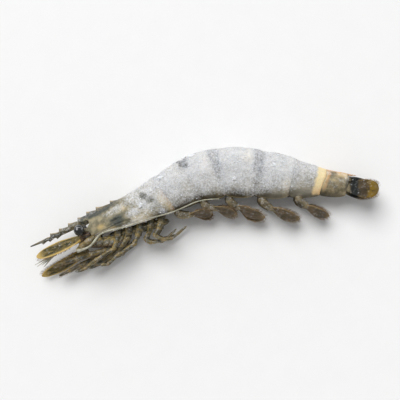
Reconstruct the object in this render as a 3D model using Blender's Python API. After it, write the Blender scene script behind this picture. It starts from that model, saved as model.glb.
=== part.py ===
"""Whole raw tiger prawn with its head and shell on, lying on its right side.

The prawn is described in body coordinates, in millimetres: the distance along its centre
line from the rostrum's tip, the height towards its back, and the distance out to its left.
The centre line is straight through the head, turns along an arc in the first half of the
abdomen and runs straight on to the tail.  body_point turns these coordinates into metres,
with +X towards the tail, +Y towards the back and +Z up, out of the prawn's left side.
"""
import math

import bmesh
import bpy
from mathutils import Vector

METRES = 0.001                      # metres in a millimetre
SIDES = (("left", 1.0), ("right", -1.0))
NAME = "tiger_prawn"

# The centre line.
HEAD_PITCH = math.radians(15.1)     # rise of the head's straight stretch towards the tail
BEND_ANGLE = math.radians(34.0)     # how far the abdomen curls
BEND_START = 68.0
BEND_END = 98.0
TOTAL_LENGTH = 150.5                # rostrum to tail tip, along the centre line

# Body profile: distance along, height of the back, depth of the belly, half width.
PROFILE = (
    (24.0, 6.6, 1.4, 3.4),
    (28.0, 7.2, 2.1, 5.0),
    (34.0, 7.4, 3.7, 6.6),
    (42.0, 7.6, 5.7, 7.9),
    (50.0, 8.2, 7.6, 8.7),
    (60.0, 9.2, 9.3, 9.1),
    (70.0, 10.4, 10.2, 9.4),
    (80.0, 11.0, 11.2, 9.6),
    (92.0, 10.9, 11.6, 9.6),
    (104.0, 9.9, 10.7, 8.9),
    (115.0, 7.8, 9.0, 7.4),
    (127.0, 5.3, 6.4, 5.4),
    (138.0, 4.3, 4.7, 4.0),
)
WIDEST_HALF = 9.6
BACK_POWER = 0.92                   # roundness of the section above, below and on the sides
BELLY_POWER = 0.80
SIDE_POWER = 0.90
NARROWING = 0.34                    # how much narrower it is above in the head, below in the abdomen
ABDOMEN_SWELL = 1.04
ABDOMEN_BLEND = (44.0, 64.0)        # where the head's section turns into the abdomen's
BELLY_HOLLOW = 0.12
HOLLOW_SPAN = math.radians(28.0)
CARAPACE_FRONT = 24.0
CARAPACE_REAR = 58.3
SEGMENT_REARS = (70.8, 83.0, 98.8, 114.6, 128.2, 137.8)   # rear margins of the six segments
REAR_SWEEPS = (1.8, 2.2, 0.4, -1.2, -1.9, -0.6)           # how far each runs back on the sides
CARAPACE_SWEEP = 2.6
FRONT_SWEEP_SHARE = 0.92            # a front margin lies inside the last rear one and sweeps less
AROUND = 24                         # points round a body section
CARAPACE_RINGS = 13
SEGMENT_RINGS = 6
REAR_RIM = 0.32                     # a rear margin stands this far proud of the profile
FRONT_INSET = 0.30                  # a front margin sinks this far under it
SEGMENT_CROWN = 0.25                # swell of a segment between its margins
NODE_GAP = 0.45                     # clearance along the body between two pieces
CAP_SHARE = 0.8                     # size of the inner ring on a piece's end, against its margin
FACE_STEP = 0.8                     # the carapace's face: its inner ring lies this far ahead,
FACE_SINK = 0.5                     # this far under the profile,
FACE_SHARE = 0.6                    # and this size against the margin
FACE_MIDDLE = (23.0, 2.2, 0.0)      # its middle, in body coordinates
FLAT_DEPTH = 1.00                   # how much of the widest side is pressed flat
LIE_HEIGHT = WIDEST_HALF - FLAT_DEPTH      # height of the centre line over the surface below

# Crest of the last segments, and the spine at its end.
CREST_START = 99.0
CREST_RISE = 12.0                   # length over which it rises
CREST_HEIGHT = 0.9
CREST_SPAN = math.radians(14.0)
TAIL_SPINE = 3.4

# Rostrum.
ROSTRUM_REAR = 47.0
ROSTRUM_TIP_HEIGHT = 6.9
ROSTRUM_BASE_HEIGHT = 7.7
ROSTRUM_DIP = 0.35
ROSTRUM_TIP_DEPTH = 0.55
ROSTRUM_DEPTH_GAIN = 3.3
ROSTRUM_THICKNESS = 1.7
ROSTRUM_EDGE = 0.35                 # thickness of its upper and lower edge
ROSTRUM_RIDGE = 0.45                # height of its thickest line, as a share of its depth
ROSTRUM_ROOT = 2.6                  # depth of its root inside the carapace
ROSTRUM_POINT = 0.6                 # length of its point ahead of the first section
DORSAL_TEETH = (38.0, 31.5, 27.0, 22.6, 18.0, 13.6, 9.4)
VENTRAL_TEETH = (11.2, 7.8, 4.8)
TOOTH_HEIGHT = 0.95
LOWER_TOOTH_HEIGHT = 0.76
TOOTH_FACE = 0.55                   # length of a tooth's steep front

# Routes of limbs.  A row is a share of the length, along, back, out to the side and the radius.
EYE_ROUTE = (
    (0.0, 22.3, 2.6, 1.5, 0.80), (0.3, 22.0, 3.1, 2.9, 0.95), (0.45, 21.9, 3.3, 3.6, 1.70),
    (0.6, 21.6, 3.4, 4.5, 2.25), (0.75, 21.3, 3.5, 5.4, 2.20), (0.9, 21.0, 3.6, 6.3, 1.55),
    (1.0, 20.9, 3.6, 6.8, 0.70),
)
ANTENNULE_ROUTE = (
    (0.0, 21.9, 0.2, 1.50, 1.20), (0.3, 15.5, 0.1, 1.60, 1.10), (0.5, 11.0, -0.2, 1.60, 0.80),
    (0.7, 6.0, -1.0, 1.50, 0.45), (1.0, -2.0, -2.2, 1.40, 0.28),
)
ANTENNULE_SPREAD = 0.5              # how far each leaves the route at its tip, up or down
MAXILLIPED_ROUTE = (
    (0.0, 29.0, -9.0, 1.7, 0.90), (0.2, 25.2, -9.3, 1.9, 1.10), (0.6, 14.5, -8.2, 1.5, 0.95),
    (1.0, 4.5, -7.4, 1.5, 0.40),
)
MAXILLIPED_SPREAD = 2.6             # how far each leaves the route towards its tip, up or down

# Antennae: a jointed base that turns out and back on each side, then a whip folded along the
# body, in rows of a share, along and degrees off the back.
ANTENNA_BASES = {
    "left": ((0.0, 21.9, -2.6, 4.0, 1.30), (0.05, 18.6, -3.4, 5.8, 1.20), (0.09, 17.4, -4.0, 7.6, 0.85),
             (0.13, 19.8, -4.4, 8.5, 0.58), (0.17, 23.0, -4.5, 7.9, 0.54)),
    "right": ((0.0, 21.9, -0.7, 4.3, 1.30), (0.05, 18.8, -1.0, 5.6, 1.20), (0.09, 18.0, -2.2, 6.9, 0.85),
              (0.13, 20.0, -3.5, 7.1, 0.58), (0.17, 23.0, -4.3, 7.0, 0.54)),
}
ANTENNA_WHIP = ((0.25, 29.0, 121.0), (0.4, 39.0, 122.0), (0.55, 49.0, 124.0), (0.7, 60.0, 128.0),
                (0.85, 71.0, 132.0), (1.0, 82.0, 134.0))
ANTENNA_LIFT = 1.35                 # height of the whip's middle over the shell
WHIP_RADIUS = 0.52
WHIP_TAPER = 0.28

# Mouthparts: a path of share, along and back, and its half width and half thickness.  Behind
# the jaws it narrows to the keel that the legs stand on.
MOUTH_PATH = (
    (0.0, 21.4, -3.7), (0.12, 25.0, -5.0), (0.24, 29.0, -6.0), (0.36, 33.2, -6.7), (0.56, 40.0, -7.2),
    (0.78, 48.0, -9.0), (1.0, 55.5, -10.5),
)
MOUTH_SIZES = (
    (0.0, 1.0, 2.4), (0.06, 1.7, 3.2), (0.16, 2.2, 3.5), (0.28, 1.9, 3.2), (0.36, 1.5, 1.9),
    (0.46, 1.2, 1.2), (0.7, 1.2, 1.2), (0.94, 1.0, 1.0), (1.0, 0.5, 0.5),
)

# Antennal scales: half widths and half thicknesses, the way each lies, and its width's direction.
SCALE_SIZES = (
    (0.0, 1.3, 1.3), (0.10, 1.9, 1.1), (0.2, 2.3, 0.7), (0.45, 2.9, 0.50), (0.7, 2.7, 0.45),
    (0.9, 1.8, 0.40), (0.98, 0.8, 0.30), (1.0, 0.35, 0.25),
)
SCALE_PATHS = {
    "left": ((0.0, 18.8, 0.3, 4.8), (0.5, 10.5, 0.9, 4.6), (1.0, 0.6, 1.4, 4.4)),
    "right": ((0.0, 18.6, -5.6, -4.6), (0.5, 9.0, -6.4, -4.2), (1.0, -2.5, -6.6, -4.0)),
}
SCALE_TILT = (0.80, -0.60)          # back and left parts on the left side

# Walking legs: hips along the carapace, then a route from the hip for each kind of leg.  A row
# of a route is its share of the length, the way along, the way down and the share of the radius.
LEG_HIPS = (35.0, 39.6, 44.2, 48.8, 53.4)
FORWARD_LEGS = 3                    # the first pairs reach forward, the others fold back
LEG_RADIUS = 1.05
LEG_HIP_OUT = 3.0
LEG_LAYERS = (2.1, 4.9)             # distance out from the middle of even and odd legs
LEG_CLEARANCE = 1.25
FORWARD_ROUTE = (
    (0.0, 0.0, 0.0, 1.0), (0.2, -2.3, -2.6, 0.95), (0.34, -4.6, -4.3, 0.85),
    (0.62, -13.0, -6.4, 0.70), (0.8, -18.0, -6.6, 0.60), (1.0, -22.5, -5.8, 0.30),
)
FOLDED_ROUTE = (
    (0.0, 0.0, 0.0, 1.0), (0.24, -2.4, -2.4, 0.95), (0.42, -4.3, -4.5, 0.80),
    (0.52, -3.2, -6.3, 0.70), (0.7, 1.5, -7.4, 0.55), (1.0, 8.5, -7.0, 0.30),
)

# Swimmerets: paddles that start at a share of their segment and slope back under it.
SWIMMERET_LENGTHS = (13.8, 15.8, 16.4, 15.2, 12.2)
SWIMMERET_START = 0.30
SWIMMERET_OUT = 3.2
SWIMMERET_CLEARANCE = 1.9
SWIMMERET_SLOPE = math.radians(17.5)
SWIMMERET_ELBOW = (0.4, 0.45)       # its stem ends at this share of the length, and of the drop
SWIMMERET_TILT = (0.60, 0.80)       # back and left parts of a paddle's width, on the left side
SWIMMERET_SIZES = (
    (0.0, 1.8, 1.1), (0.25, 2.1, 1.0), (0.4, 2.3, 0.7), (0.65, 3.3, 0.55), (0.85, 2.6, 0.5),
    (0.97, 1.3, 0.35), (1.0, 0.5, 0.25),
)

# Tail fan: a pointed telson between two pairs of uropods that hang like a roof.
FAN_START = 138.4
TELSON_PATH = ((0.0, FAN_START, 2.6, 0.0), (0.5, 144.0, 3.1, 0.0), (1.0, 149.8, 2.4, 0.0))
TELSON_SIZES = ((0.0, 2.1, 1.3), (0.3, 2.3, 1.45), (0.6, 1.7, 1.1), (0.9, 0.8, 0.5), (1.0, 0.3, 0.3))
OUTER_UROPOD_PATH = ((0.0, FAN_START, -0.4, 3.3), (0.5, 143.8, 0.0, 4.8), (1.0, TOTAL_LENGTH, 0.7, 5.1))
OUTER_UROPOD_SIZES = (
    (0.0, 1.3, 0.9), (0.2, 2.8, 0.55), (0.5, 3.9, 0.45), (0.75, 3.8, 0.4), (0.9, 2.9, 0.38),
    (0.97, 1.7, 0.35), (1.0, 0.7, 0.3),
)
INNER_UROPOD_PATH = ((0.0, FAN_START, -1.5, 1.3), (0.5, 143.6, -1.4, 2.7), (1.0, 148.9, -0.6, 3.0))
INNER_UROPOD_SIZES = (
    (0.0, 1.0, 0.8), (0.2, 2.1, 0.5), (0.5, 3.0, 0.4), (0.75, 2.8, 0.36), (0.9, 2.0, 0.33),
    (0.97, 1.2, 0.3), (1.0, 0.5, 0.25),
)
UROPOD_TILT = (0.94, -0.34)         # back and left parts of its width, on the left side
LIMB_BEVEL = 1                      # bevel resolution of a limb: six sides
EYE_BEVEL = 3                       # of an eye: ten sides

# Colours of the pieces, linear, and their roughness.
COLOURS = {
    "frosted_shell": ((0.62, 0.63, 0.64), 0.55),
    "head_shell": ((0.45, 0.40, 0.30), 0.45),
    "tail_shell": ((0.20, 0.17, 0.11), 0.40),
    "tail_fan": ((0.09, 0.07, 0.045), 0.35),
    "limb_shell": ((0.10, 0.075, 0.045), 0.40),
    "whisker": ((0.36, 0.33, 0.26), 0.45),
    "scale_blade": ((0.30, 0.22, 0.09), 0.40),
    "eye": ((0.012, 0.011, 0.010), 0.18),
}


# ---------------------------------------------------------------- scene and helpers

def clear_scene():
    """Remove what the scene holds."""
    for item in list(bpy.data.objects):
        bpy.data.objects.remove(item, do_unlink=True)
    for group in list(bpy.data.collections):
        bpy.data.collections.remove(group)


def new_collection(name):
    """A collection linked to the scene."""
    group = bpy.data.collections.new(name)
    bpy.context.scene.collection.children.link(group)
    return group


def make_materials():
    """One Principled material for each kind of surface."""
    made = {}
    for name, (colour, roughness) in COLOURS.items():
        material = bpy.data.materials.new(name)
        material.use_nodes = True
        shader = material.node_tree.nodes["Principled BSDF"]
        shader.inputs["Base Color"].default_value = (*colour, 1.0)
        shader.inputs["Roughness"].default_value = roughness
        shader.inputs["Metallic"].default_value = 0.0
        material.diffuse_color = (*colour, 1.0)
        made[name] = material
    return made


def clamp01(value):
    """Value kept between 0 and 1."""
    return min(1.0, max(0.0, value))


def ease(low, high, value):
    """0 below low, 1 above high, and a smooth step between."""
    t = clamp01((value - low) / (high - low))
    return t * t * (3.0 - 2.0 * t)


def smooth_rows(rows, at):
    """Row of values at a distance, read from a smooth curve through the given rows."""
    last = len(rows) - 1
    at = min(max(at, rows[0][0]), rows[last][0])
    k = 0
    while k < last - 1 and at > rows[k + 1][0]:
        k += 1
    before, start, end, after = rows[max(k - 1, 0)], rows[k], rows[k + 1], rows[min(k + 2, last)]
    span = end[0] - start[0]
    t = (at - start[0]) / span
    values = []
    for column in range(1, len(start)):
        slope_in = (end[column] - before[column]) / (end[0] - before[0])
        slope_out = (after[column] - start[column]) / (after[0] - start[0])
        values.append(
            (2 * t ** 3 - 3 * t ** 2 + 1) * start[column]
            + (t ** 3 - 2 * t ** 2 + t) * span * slope_in
            + (3 * t ** 2 - 2 * t ** 3) * end[column]
            + (t ** 3 - t ** 2) * span * slope_out)
    return values


# ---------------------------------------------------------------- body coordinates

def centre_line(along):
    """Point of the centre line, and the direction towards the back there."""
    radius = (BEND_END - BEND_START) / BEND_ANGLE
    turn = BEND_ANGLE * clamp01((along - BEND_START) / (BEND_END - BEND_START))
    heading = HEAD_PITCH - turn
    straight = min(along, BEND_START)
    rest = max(along - BEND_END, 0.0)
    x = straight * math.cos(HEAD_PITCH) + radius * (math.sin(HEAD_PITCH) - math.sin(heading))
    y = straight * math.sin(HEAD_PITCH) + radius * (math.cos(heading) - math.cos(HEAD_PITCH))
    x += rest * math.cos(heading)
    y += rest * math.sin(heading)
    return Vector((x, y, 0.0)), Vector((-math.sin(heading), math.cos(heading), 0.0))


def body_point(along, back, left):
    """World point, in metres, of a place given in body coordinates."""
    centre, towards_back = centre_line(along)
    height = max(LIE_HEIGHT + left, 0.0)
    return (centre + towards_back * back + Vector((0.0, 0.0, height))) * METRES


def section(along, around, swell=0.0):
    """Back and left coordinates of the body's surface.

    The angle around is 0 on the back, 90 degrees on the left and 180 under the belly.
    The head is narrow above and full below, the abdomen full above and narrow below.
    """
    back, belly, half_width = smooth_rows(PROFILE, along)
    up = math.cos(around)
    side = math.sin(around)
    abdomen = ease(*ABDOMEN_BLEND, along)
    if up > 0.0:
        height = (back + swell) * abs(up) ** BACK_POWER
    else:
        height = -(belly + swell) * abs(up) ** BELLY_POWER
    head_width = 1.0 - NARROWING * ((1.0 + up) / 2.0) ** 2
    abdomen_width = ABDOMEN_SWELL - NARROWING * ((1.0 - up) / 2.0) ** 2
    narrowing = head_width + (abdomen_width - head_width) * abdomen
    width = (half_width + swell) * math.copysign(abs(side) ** SIDE_POWER, side) * narrowing
    off_back = math.atan2(abs(side), up)
    crest = CREST_HEIGHT * ease(CREST_START, CREST_START + CREST_RISE, along)
    height += crest * math.exp(-(off_back / CREST_SPAN) ** 2)
    if up < 0.0:
        height *= 1.0 - BELLY_HOLLOW * abdomen * math.exp(-((math.pi - off_back) / HOLLOW_SPAN) ** 2)
    return height, width


def underside(along, left, swell=0.0):
    """Height of the body's underside at a distance out from its middle."""
    low, high = math.pi / 2.0, math.pi
    for _ in range(30):
        middle = (low + high) / 2.0
        if section(along, middle, swell)[1] > left:
            low = middle
        else:
            high = middle
    return section(along, high, swell)[0]


def margin_shape(around):
    """Share of a margin's sweep at an angle around: none on the back, most low on the sides."""
    off_back = math.degrees(math.atan2(abs(math.sin(around)), math.cos(around)))
    return ease(30.0, 125.0, off_back) - 0.6 * ease(135.0, 180.0, off_back)


def angles():
    """The angles of a body section's points."""
    return [2.0 * math.pi * j / AROUND for j in range(AROUND)]


def body_ring(along, swell=0.0, sweep=0.0, inward=1.0, spine=0.0):
    """Section of the body, its sides swept back; inward scales it to the centre line."""
    ring = []
    for around in angles():
        at = along + sweep * margin_shape(around) * inward
        height, width = section(at, around, swell)
        reach = spine if around == 0.0 else 0.0
        ring.append(body_point(at + reach, height * inward, width * inward))
    return ring


# ---------------------------------------------------------------- making solids

def add_solid(name, points, faces, material, group):
    """Mesh object of one closed body with its faces turned outward."""
    mesh = bpy.data.meshes.new(name)
    work = bmesh.new()
    corners = [work.verts.new(point) for point in points]
    for face in faces:
        work.faces.new([corners[index] for index in face])
    bmesh.ops.triangulate(work, faces=work.faces[:])
    bmesh.ops.recalc_face_normals(work, faces=work.faces[:])
    work.to_mesh(mesh)
    work.free()
    mesh.materials.append(material)
    mesh.shade_smooth()
    mesh.set_sharp_from_angle(angle=math.radians(40.0))
    item = bpy.data.objects.new(name, mesh)
    group.objects.link(item)
    return item


def loft(name, rings, first_point, last_point, material, group):
    """Solid through rings of equal length, closed by a fan to a point at each end."""
    count = len(rings[0])
    points = [point for ring in rings for point in ring]
    faces = []
    for row in range(len(rings) - 1):
        for j in range(count):
            ahead = (j + 1) % count
            faces.append((row * count + j, row * count + ahead,
                          (row + 1) * count + ahead, (row + 1) * count + j))
    first_index = len(points)
    last_index = first_index + 1
    points += [first_point, last_point]
    last_row = (len(rings) - 1) * count
    for j in range(count):
        ahead = (j + 1) % count
        faces.append((first_index, ahead, j))
        faces.append((last_index, last_row + j, last_row + ahead))
    return add_solid(name, points, faces, material, group)


def blade(name, path, sizes, width_axis, material, group, sides=8):
    """Flat blade along a path of body coordinates.

    A row of sizes is a share of the path, the half width and the half thickness there; the
    section is an oval whose long direction, width_axis, is given as back and left parts.
    """
    axis = Vector((0.0, *width_axis)).normalized()
    flat = Vector((0.0, -axis.z, axis.y))
    rings = []
    for share, half_width, half_thickness in sizes:
        place = Vector(smooth_rows(path, share))
        ring = []
        for j in range(sides):
            turn = 2.0 * math.pi * j / sides
            spot = place + axis * half_width * math.cos(turn) + flat * half_thickness * math.sin(turn)
            ring.append(body_point(*spot))
        rings.append(ring)
    ends = [body_point(*smooth_rows(path, share)) for share in (sizes[0][0], sizes[-1][0])]
    return loft(name, rings, ends[0], ends[1], material, group)


def on_side(path, sign):
    """Path with its distance out to the side turned into the distance to the left."""
    return tuple((*row[:3], row[3] * sign, *row[4:]) for row in path)


def limb(name, path, material, group, steps=9, bevel=LIMB_BEVEL):
    """Tapering limb: a bevelled curve through body coordinates with a radius at each point.

    A row of the path is its share of the length, along, back, left and the radius.
    """
    curve = bpy.data.curves.new(name, "CURVE")
    curve.dimensions = "3D"
    curve.bevel_depth = METRES
    curve.bevel_resolution = bevel
    curve.use_fill_caps = True
    spline = curve.splines.new("POLY")
    spline.points.add(steps)
    for k in range(steps + 1):
        along, back, left, radius = smooth_rows(path, path[-1][0] * k / steps)
        spline.points[k].co = (*body_point(along, back, left), 1.0)
        spline.points[k].radius = radius
    curve.materials.append(material)
    item = bpy.data.objects.new(name, curve)
    group.objects.link(item)
    return item


# ---------------------------------------------------------------- head

def rostrum_edges(along):
    """Upper and lower edge of the rostrum, without its teeth."""
    reach = along / CARAPACE_FRONT
    if along <= CARAPACE_FRONT:
        top = ROSTRUM_TIP_HEIGHT + (ROSTRUM_BASE_HEIGHT - ROSTRUM_TIP_HEIGHT) * reach
        top -= ROSTRUM_DIP * math.sin(math.pi * reach)
        return top, top - ROSTRUM_TIP_DEPTH - ROSTRUM_DEPTH_GAIN * reach ** 0.8
    surface = section(along, 0.0)[0]
    front_rise = ROSTRUM_BASE_HEIGHT - section(CARAPACE_FRONT, 0.0)[0]
    rise = front_rise * (1.0 - ease(CARAPACE_FRONT, ROSTRUM_REAR, along))
    return surface + rise, surface - ROSTRUM_ROOT


def make_rostrum(material, group):
    """Toothed blade that runs forward from a crest on the carapace."""
    stations = {0.0: (0.0, 0.0), ROSTRUM_REAR: (0.0, 0.0)}
    for tip in DORSAL_TEETH:
        stations[tip] = (TOOTH_HEIGHT, 0.0)
        stations[tip - TOOTH_FACE] = (0.0, 0.0)
    for tip in VENTRAL_TEETH:
        stations[tip] = (0.0, LOWER_TOOTH_HEIGHT)
        stations[tip - TOOTH_FACE] = (0.0, 0.0)
    rings = []
    for along in sorted(stations):
        tooth_up, tooth_down = stations[along]
        top, bottom = rostrum_edges(along)
        middle = bottom + ROSTRUM_RIDGE * (top - bottom)
        half = ROSTRUM_THICKNESS / 2.0 * ease(-9.0, 16.0, along)
        edge = ROSTRUM_EDGE / 2.0
        outline = ((top + tooth_up, edge), (middle, half), (bottom - tooth_down, edge),
                   (bottom - tooth_down, -edge), (middle, -half), (top + tooth_up, -edge))
        rings.append([body_point(along, back, left) for back, left in outline])
    nose_top, nose_bottom = rostrum_edges(0.0)
    nose = body_point(-ROSTRUM_POINT, (nose_top + nose_bottom) / 2.0, 0.0)
    rear_top, rear_bottom = rostrum_edges(ROSTRUM_REAR)
    rear = body_point(ROSTRUM_REAR + ROSTRUM_POINT, (rear_top + rear_bottom) / 2.0, 0.0)
    blade_solid = loft("rostrum_blade", rings, nose, rear, material, group)
    blade_solid.hide_render = True
    blade_solid.display_type = "WIRE"
    return blade_solid


def make_carapace(materials, group, cutters):
    """Head shield in one piece with its rostrum."""
    rings = [body_ring(CARAPACE_FRONT - FACE_STEP, -FACE_SINK, inward=FACE_SHARE)]
    span = CARAPACE_REAR - CARAPACE_FRONT
    for k in range(CARAPACE_RINGS):
        t = k / (CARAPACE_RINGS - 1)
        swell = REAR_RIM * ease(0.75, 1.0, t)
        rings.append(body_ring(CARAPACE_FRONT + span * t, swell, sweep=CARAPACE_SWEEP * t * t))
    rings.append(body_ring(CARAPACE_REAR, REAR_RIM, sweep=CARAPACE_SWEEP, inward=CAP_SHARE))
    front = body_point(*FACE_MIDDLE)
    rear = body_point(CARAPACE_REAR, 0.0, 0.0)
    carapace = loft("carapace", rings, front, rear, materials["head_shell"], group)
    union = carapace.modifiers.new("rostrum", "BOOLEAN")
    union.operation = "UNION"
    union.solver = "EXACT"
    union.object = make_rostrum(materials["head_shell"], cutters)
    return carapace


def make_eyes(materials, group):
    """Stalked eyes, one on each side of the rostrum."""
    for side, sign in SIDES:
        limb(side + "_eye", on_side(EYE_ROUTE, sign), materials["eye"], group, steps=12, bevel=EYE_BEVEL)


def make_mouthparts(materials, group):
    """Jaws, their short feet and the keel behind them, one mass under the carapace."""
    path = [(*row, 0.0) for row in MOUTH_PATH]
    blade("mouthparts", path, MOUTH_SIZES, (1.0, 0.0), materials["limb_shell"], group)


def make_scales(materials, group):
    """Antennal scales, one on each side of the rostrum."""
    for side, sign in SIDES:
        tilt = (SCALE_TILT[0], SCALE_TILT[1] * sign)
        path = SCALE_PATHS[side]
        blade(side + "_antennal_scale", path, SCALE_SIZES, tilt, materials["scale_blade"], group)


def make_front_limbs(materials, group):
    """Antennules between the scales, and third maxillipeds under the jaws."""
    skin = materials["limb_shell"]
    for side, sign in SIDES:
        antennule = []
        for share, along, back, out, radius in ANTENNULE_ROUTE:
            lift = ANTENNULE_SPREAD * sign * ease(0.7, 1.0, share)
            antennule.append((share, along, back + lift, out * sign, radius))
        limb(side + "_antennule", antennule, skin, group)
        maxilliped = []
        for share, along, back, out, radius in MAXILLIPED_ROUTE:
            lift = MAXILLIPED_SPREAD * sign * share
            maxilliped.append((share, along, back + lift, out * sign, radius))
        limb(side + "_third_maxilliped", maxilliped, skin, group)


def make_antennae(materials, group):
    """Antennae that start beside the mouth and lie folded back along the body."""
    for side, sign in SIDES:
        path = list(on_side(ANTENNA_BASES[side], sign))
        for share, along, around in ANTENNA_WHIP:
            height, width = section(along, math.radians(around), ANTENNA_LIFT)
            path.append((share, along, height, width * sign, WHIP_RADIUS - WHIP_TAPER * share))
        limb(side + "_antenna", path, materials["whisker"], group, steps=20)


def make_legs(materials, group):
    """Five pairs of walking legs: three reach forward under the jaws, two fold back."""
    for number, hip in enumerate(LEG_HIPS, start=1):
        height = underside(hip, LEG_HIP_OUT) - LEG_CLEARANCE
        route = FORWARD_ROUTE if number <= FORWARD_LEGS else FOLDED_ROUTE
        knee_out = LEG_LAYERS[number % 2]
        for side, sign in SIDES:
            path = []
            for share, run, drop, thickness in route:
                out = LEG_HIP_OUT + (knee_out - LEG_HIP_OUT) * ease(0.0, 0.4, share)
                path.append((share, hip + run, height + drop, out * sign, LEG_RADIUS * thickness))
            limb(f"{side}_walking_leg_{number}", path, materials["limb_shell"], group, steps=10)


# ---------------------------------------------------------------- abdomen and tail

def make_abdomen(materials, group):
    """Six ringed segments; each rear margin stands proud of the next segment's front."""
    front = CARAPACE_REAR
    front_sweep = CARAPACE_SWEEP * FRONT_SWEEP_SHARE
    for number, rear in enumerate(SEGMENT_REARS, start=1):
        start = front + NODE_GAP
        rear_sweep = REAR_SWEEPS[number - 1]
        last = number == len(SEGMENT_REARS)
        rings = [body_ring(start, -FRONT_INSET, sweep=front_sweep, inward=CAP_SHARE)]
        for k in range(SEGMENT_RINGS):
            t = k / (SEGMENT_RINGS - 1)
            swell = -FRONT_INSET + (FRONT_INSET + REAR_RIM) * t + SEGMENT_CROWN * math.sin(math.pi * t)
            sweep = front_sweep + (rear_sweep - front_sweep) * t
            spine = TAIL_SPINE if last and k == SEGMENT_RINGS - 1 else 0.0
            rings.append(body_ring(start + (rear - start) * t, swell, sweep, spine=spine))
        rings.append(body_ring(rear, REAR_RIM, sweep=rear_sweep, inward=CAP_SHARE))
        shell = materials["tail_shell" if last else "frosted_shell"]
        ends = body_point(start, 0.0, 0.0), body_point(rear, 0.0, 0.0)
        loft(f"abdomen_segment_{number}", rings, ends[0], ends[1], shell, group)
        front = rear
        front_sweep = rear_sweep * FRONT_SWEEP_SHARE


def make_swimmerets(materials, group):
    """Five pairs of paddles that lie back under the abdomen."""
    front = CARAPACE_REAR
    for number, length in enumerate(SWIMMERET_LENGTHS, start=1):
        rear = SEGMENT_REARS[number - 1]
        base = front + SWIMMERET_START * (rear - front)
        depth = -underside(base, SWIMMERET_OUT, SEGMENT_CROWN) + SWIMMERET_CLEARANCE
        drop = length * math.sin(SWIMMERET_SLOPE)
        run = length * math.cos(SWIMMERET_SLOPE)
        for side, sign in SIDES:
            elbow, sag = SWIMMERET_ELBOW
            path = (
                (0.0, base, -depth, SWIMMERET_OUT * sign),
                (elbow, base + elbow * run, -depth - sag * drop, SWIMMERET_OUT * sign),
                (1.0, base + run, -depth - drop, SWIMMERET_OUT * sign),
            )
            tilt = (SWIMMERET_TILT[0], SWIMMERET_TILT[1] * sign)
            blade(f"{side}_swimmeret_{number}", path, SWIMMERET_SIZES, tilt, materials["limb_shell"], group)
        front = rear


def make_tail_fan(materials, group):
    """Telson, and two uropods on each side of it."""
    fan = materials["tail_fan"]
    blade("telson", TELSON_PATH, TELSON_SIZES, (0.0, 1.0), fan, group)
    for side, sign in SIDES:
        tilt = (UROPOD_TILT[0], UROPOD_TILT[1] * sign)
        outer = on_side(OUTER_UROPOD_PATH, sign)
        inner = on_side(INNER_UROPOD_PATH, sign)
        blade(side + "_outer_uropod", outer, OUTER_UROPOD_SIZES, tilt, fan, group)
        blade(side + "_inner_uropod", inner, INNER_UROPOD_SIZES, tilt, fan, group)


# ---------------------------------------------------------------- placing

def stand_on_origin(group):
    """Hang every piece on an empty that puts the whole box's bottom centre on the origin."""
    bpy.context.view_layer.update()
    depsgraph = bpy.context.evaluated_depsgraph_get()
    corners = []
    for item in group.objects:
        shape = item.evaluated_get(depsgraph)
        mesh = shape.to_mesh()
        corners += [item.matrix_world @ vertex.co for vertex in mesh.vertices]
        shape.to_mesh_clear()
    low = Vector([min(corner[axis] for corner in corners) for axis in range(3)])
    high = Vector([max(corner[axis] for corner in corners) for axis in range(3)])
    middle = (low + high) / 2.0
    empty = bpy.data.objects.new(NAME + "_origin", None)
    group.objects.link(empty)
    empty.location = (-middle.x, -middle.y, -low.z)
    return empty


def build_prawn():
    """Model the whole prawn."""
    clear_scene()
    group = new_collection(NAME)
    cutters = new_collection("cutters")
    materials = make_materials()
    make_carapace(materials, group, cutters)
    make_eyes(materials, group)
    make_mouthparts(materials, group)
    make_scales(materials, group)
    make_front_limbs(materials, group)
    make_antennae(materials, group)
    make_legs(materials, group)
    make_abdomen(materials, group)
    make_swimmerets(materials, group)
    make_tail_fan(materials, group)
    empty = stand_on_origin(group)
    for item in list(group.objects) + list(cutters.objects):
        if item != empty:
            item.parent = empty


build_prawn()
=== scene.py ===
"""Raw tiger prawn, frosted from the freezer and lying on its right side: the looks over the CAD frame.

Body coordinates are millimetres: along the centre line from the rostrum's tip, height towards
the back, and distance out to the left.  world() turns them into metres in the frame.
"""

import math

import bmesh
import bpy
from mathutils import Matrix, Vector
import numpy as np

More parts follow.
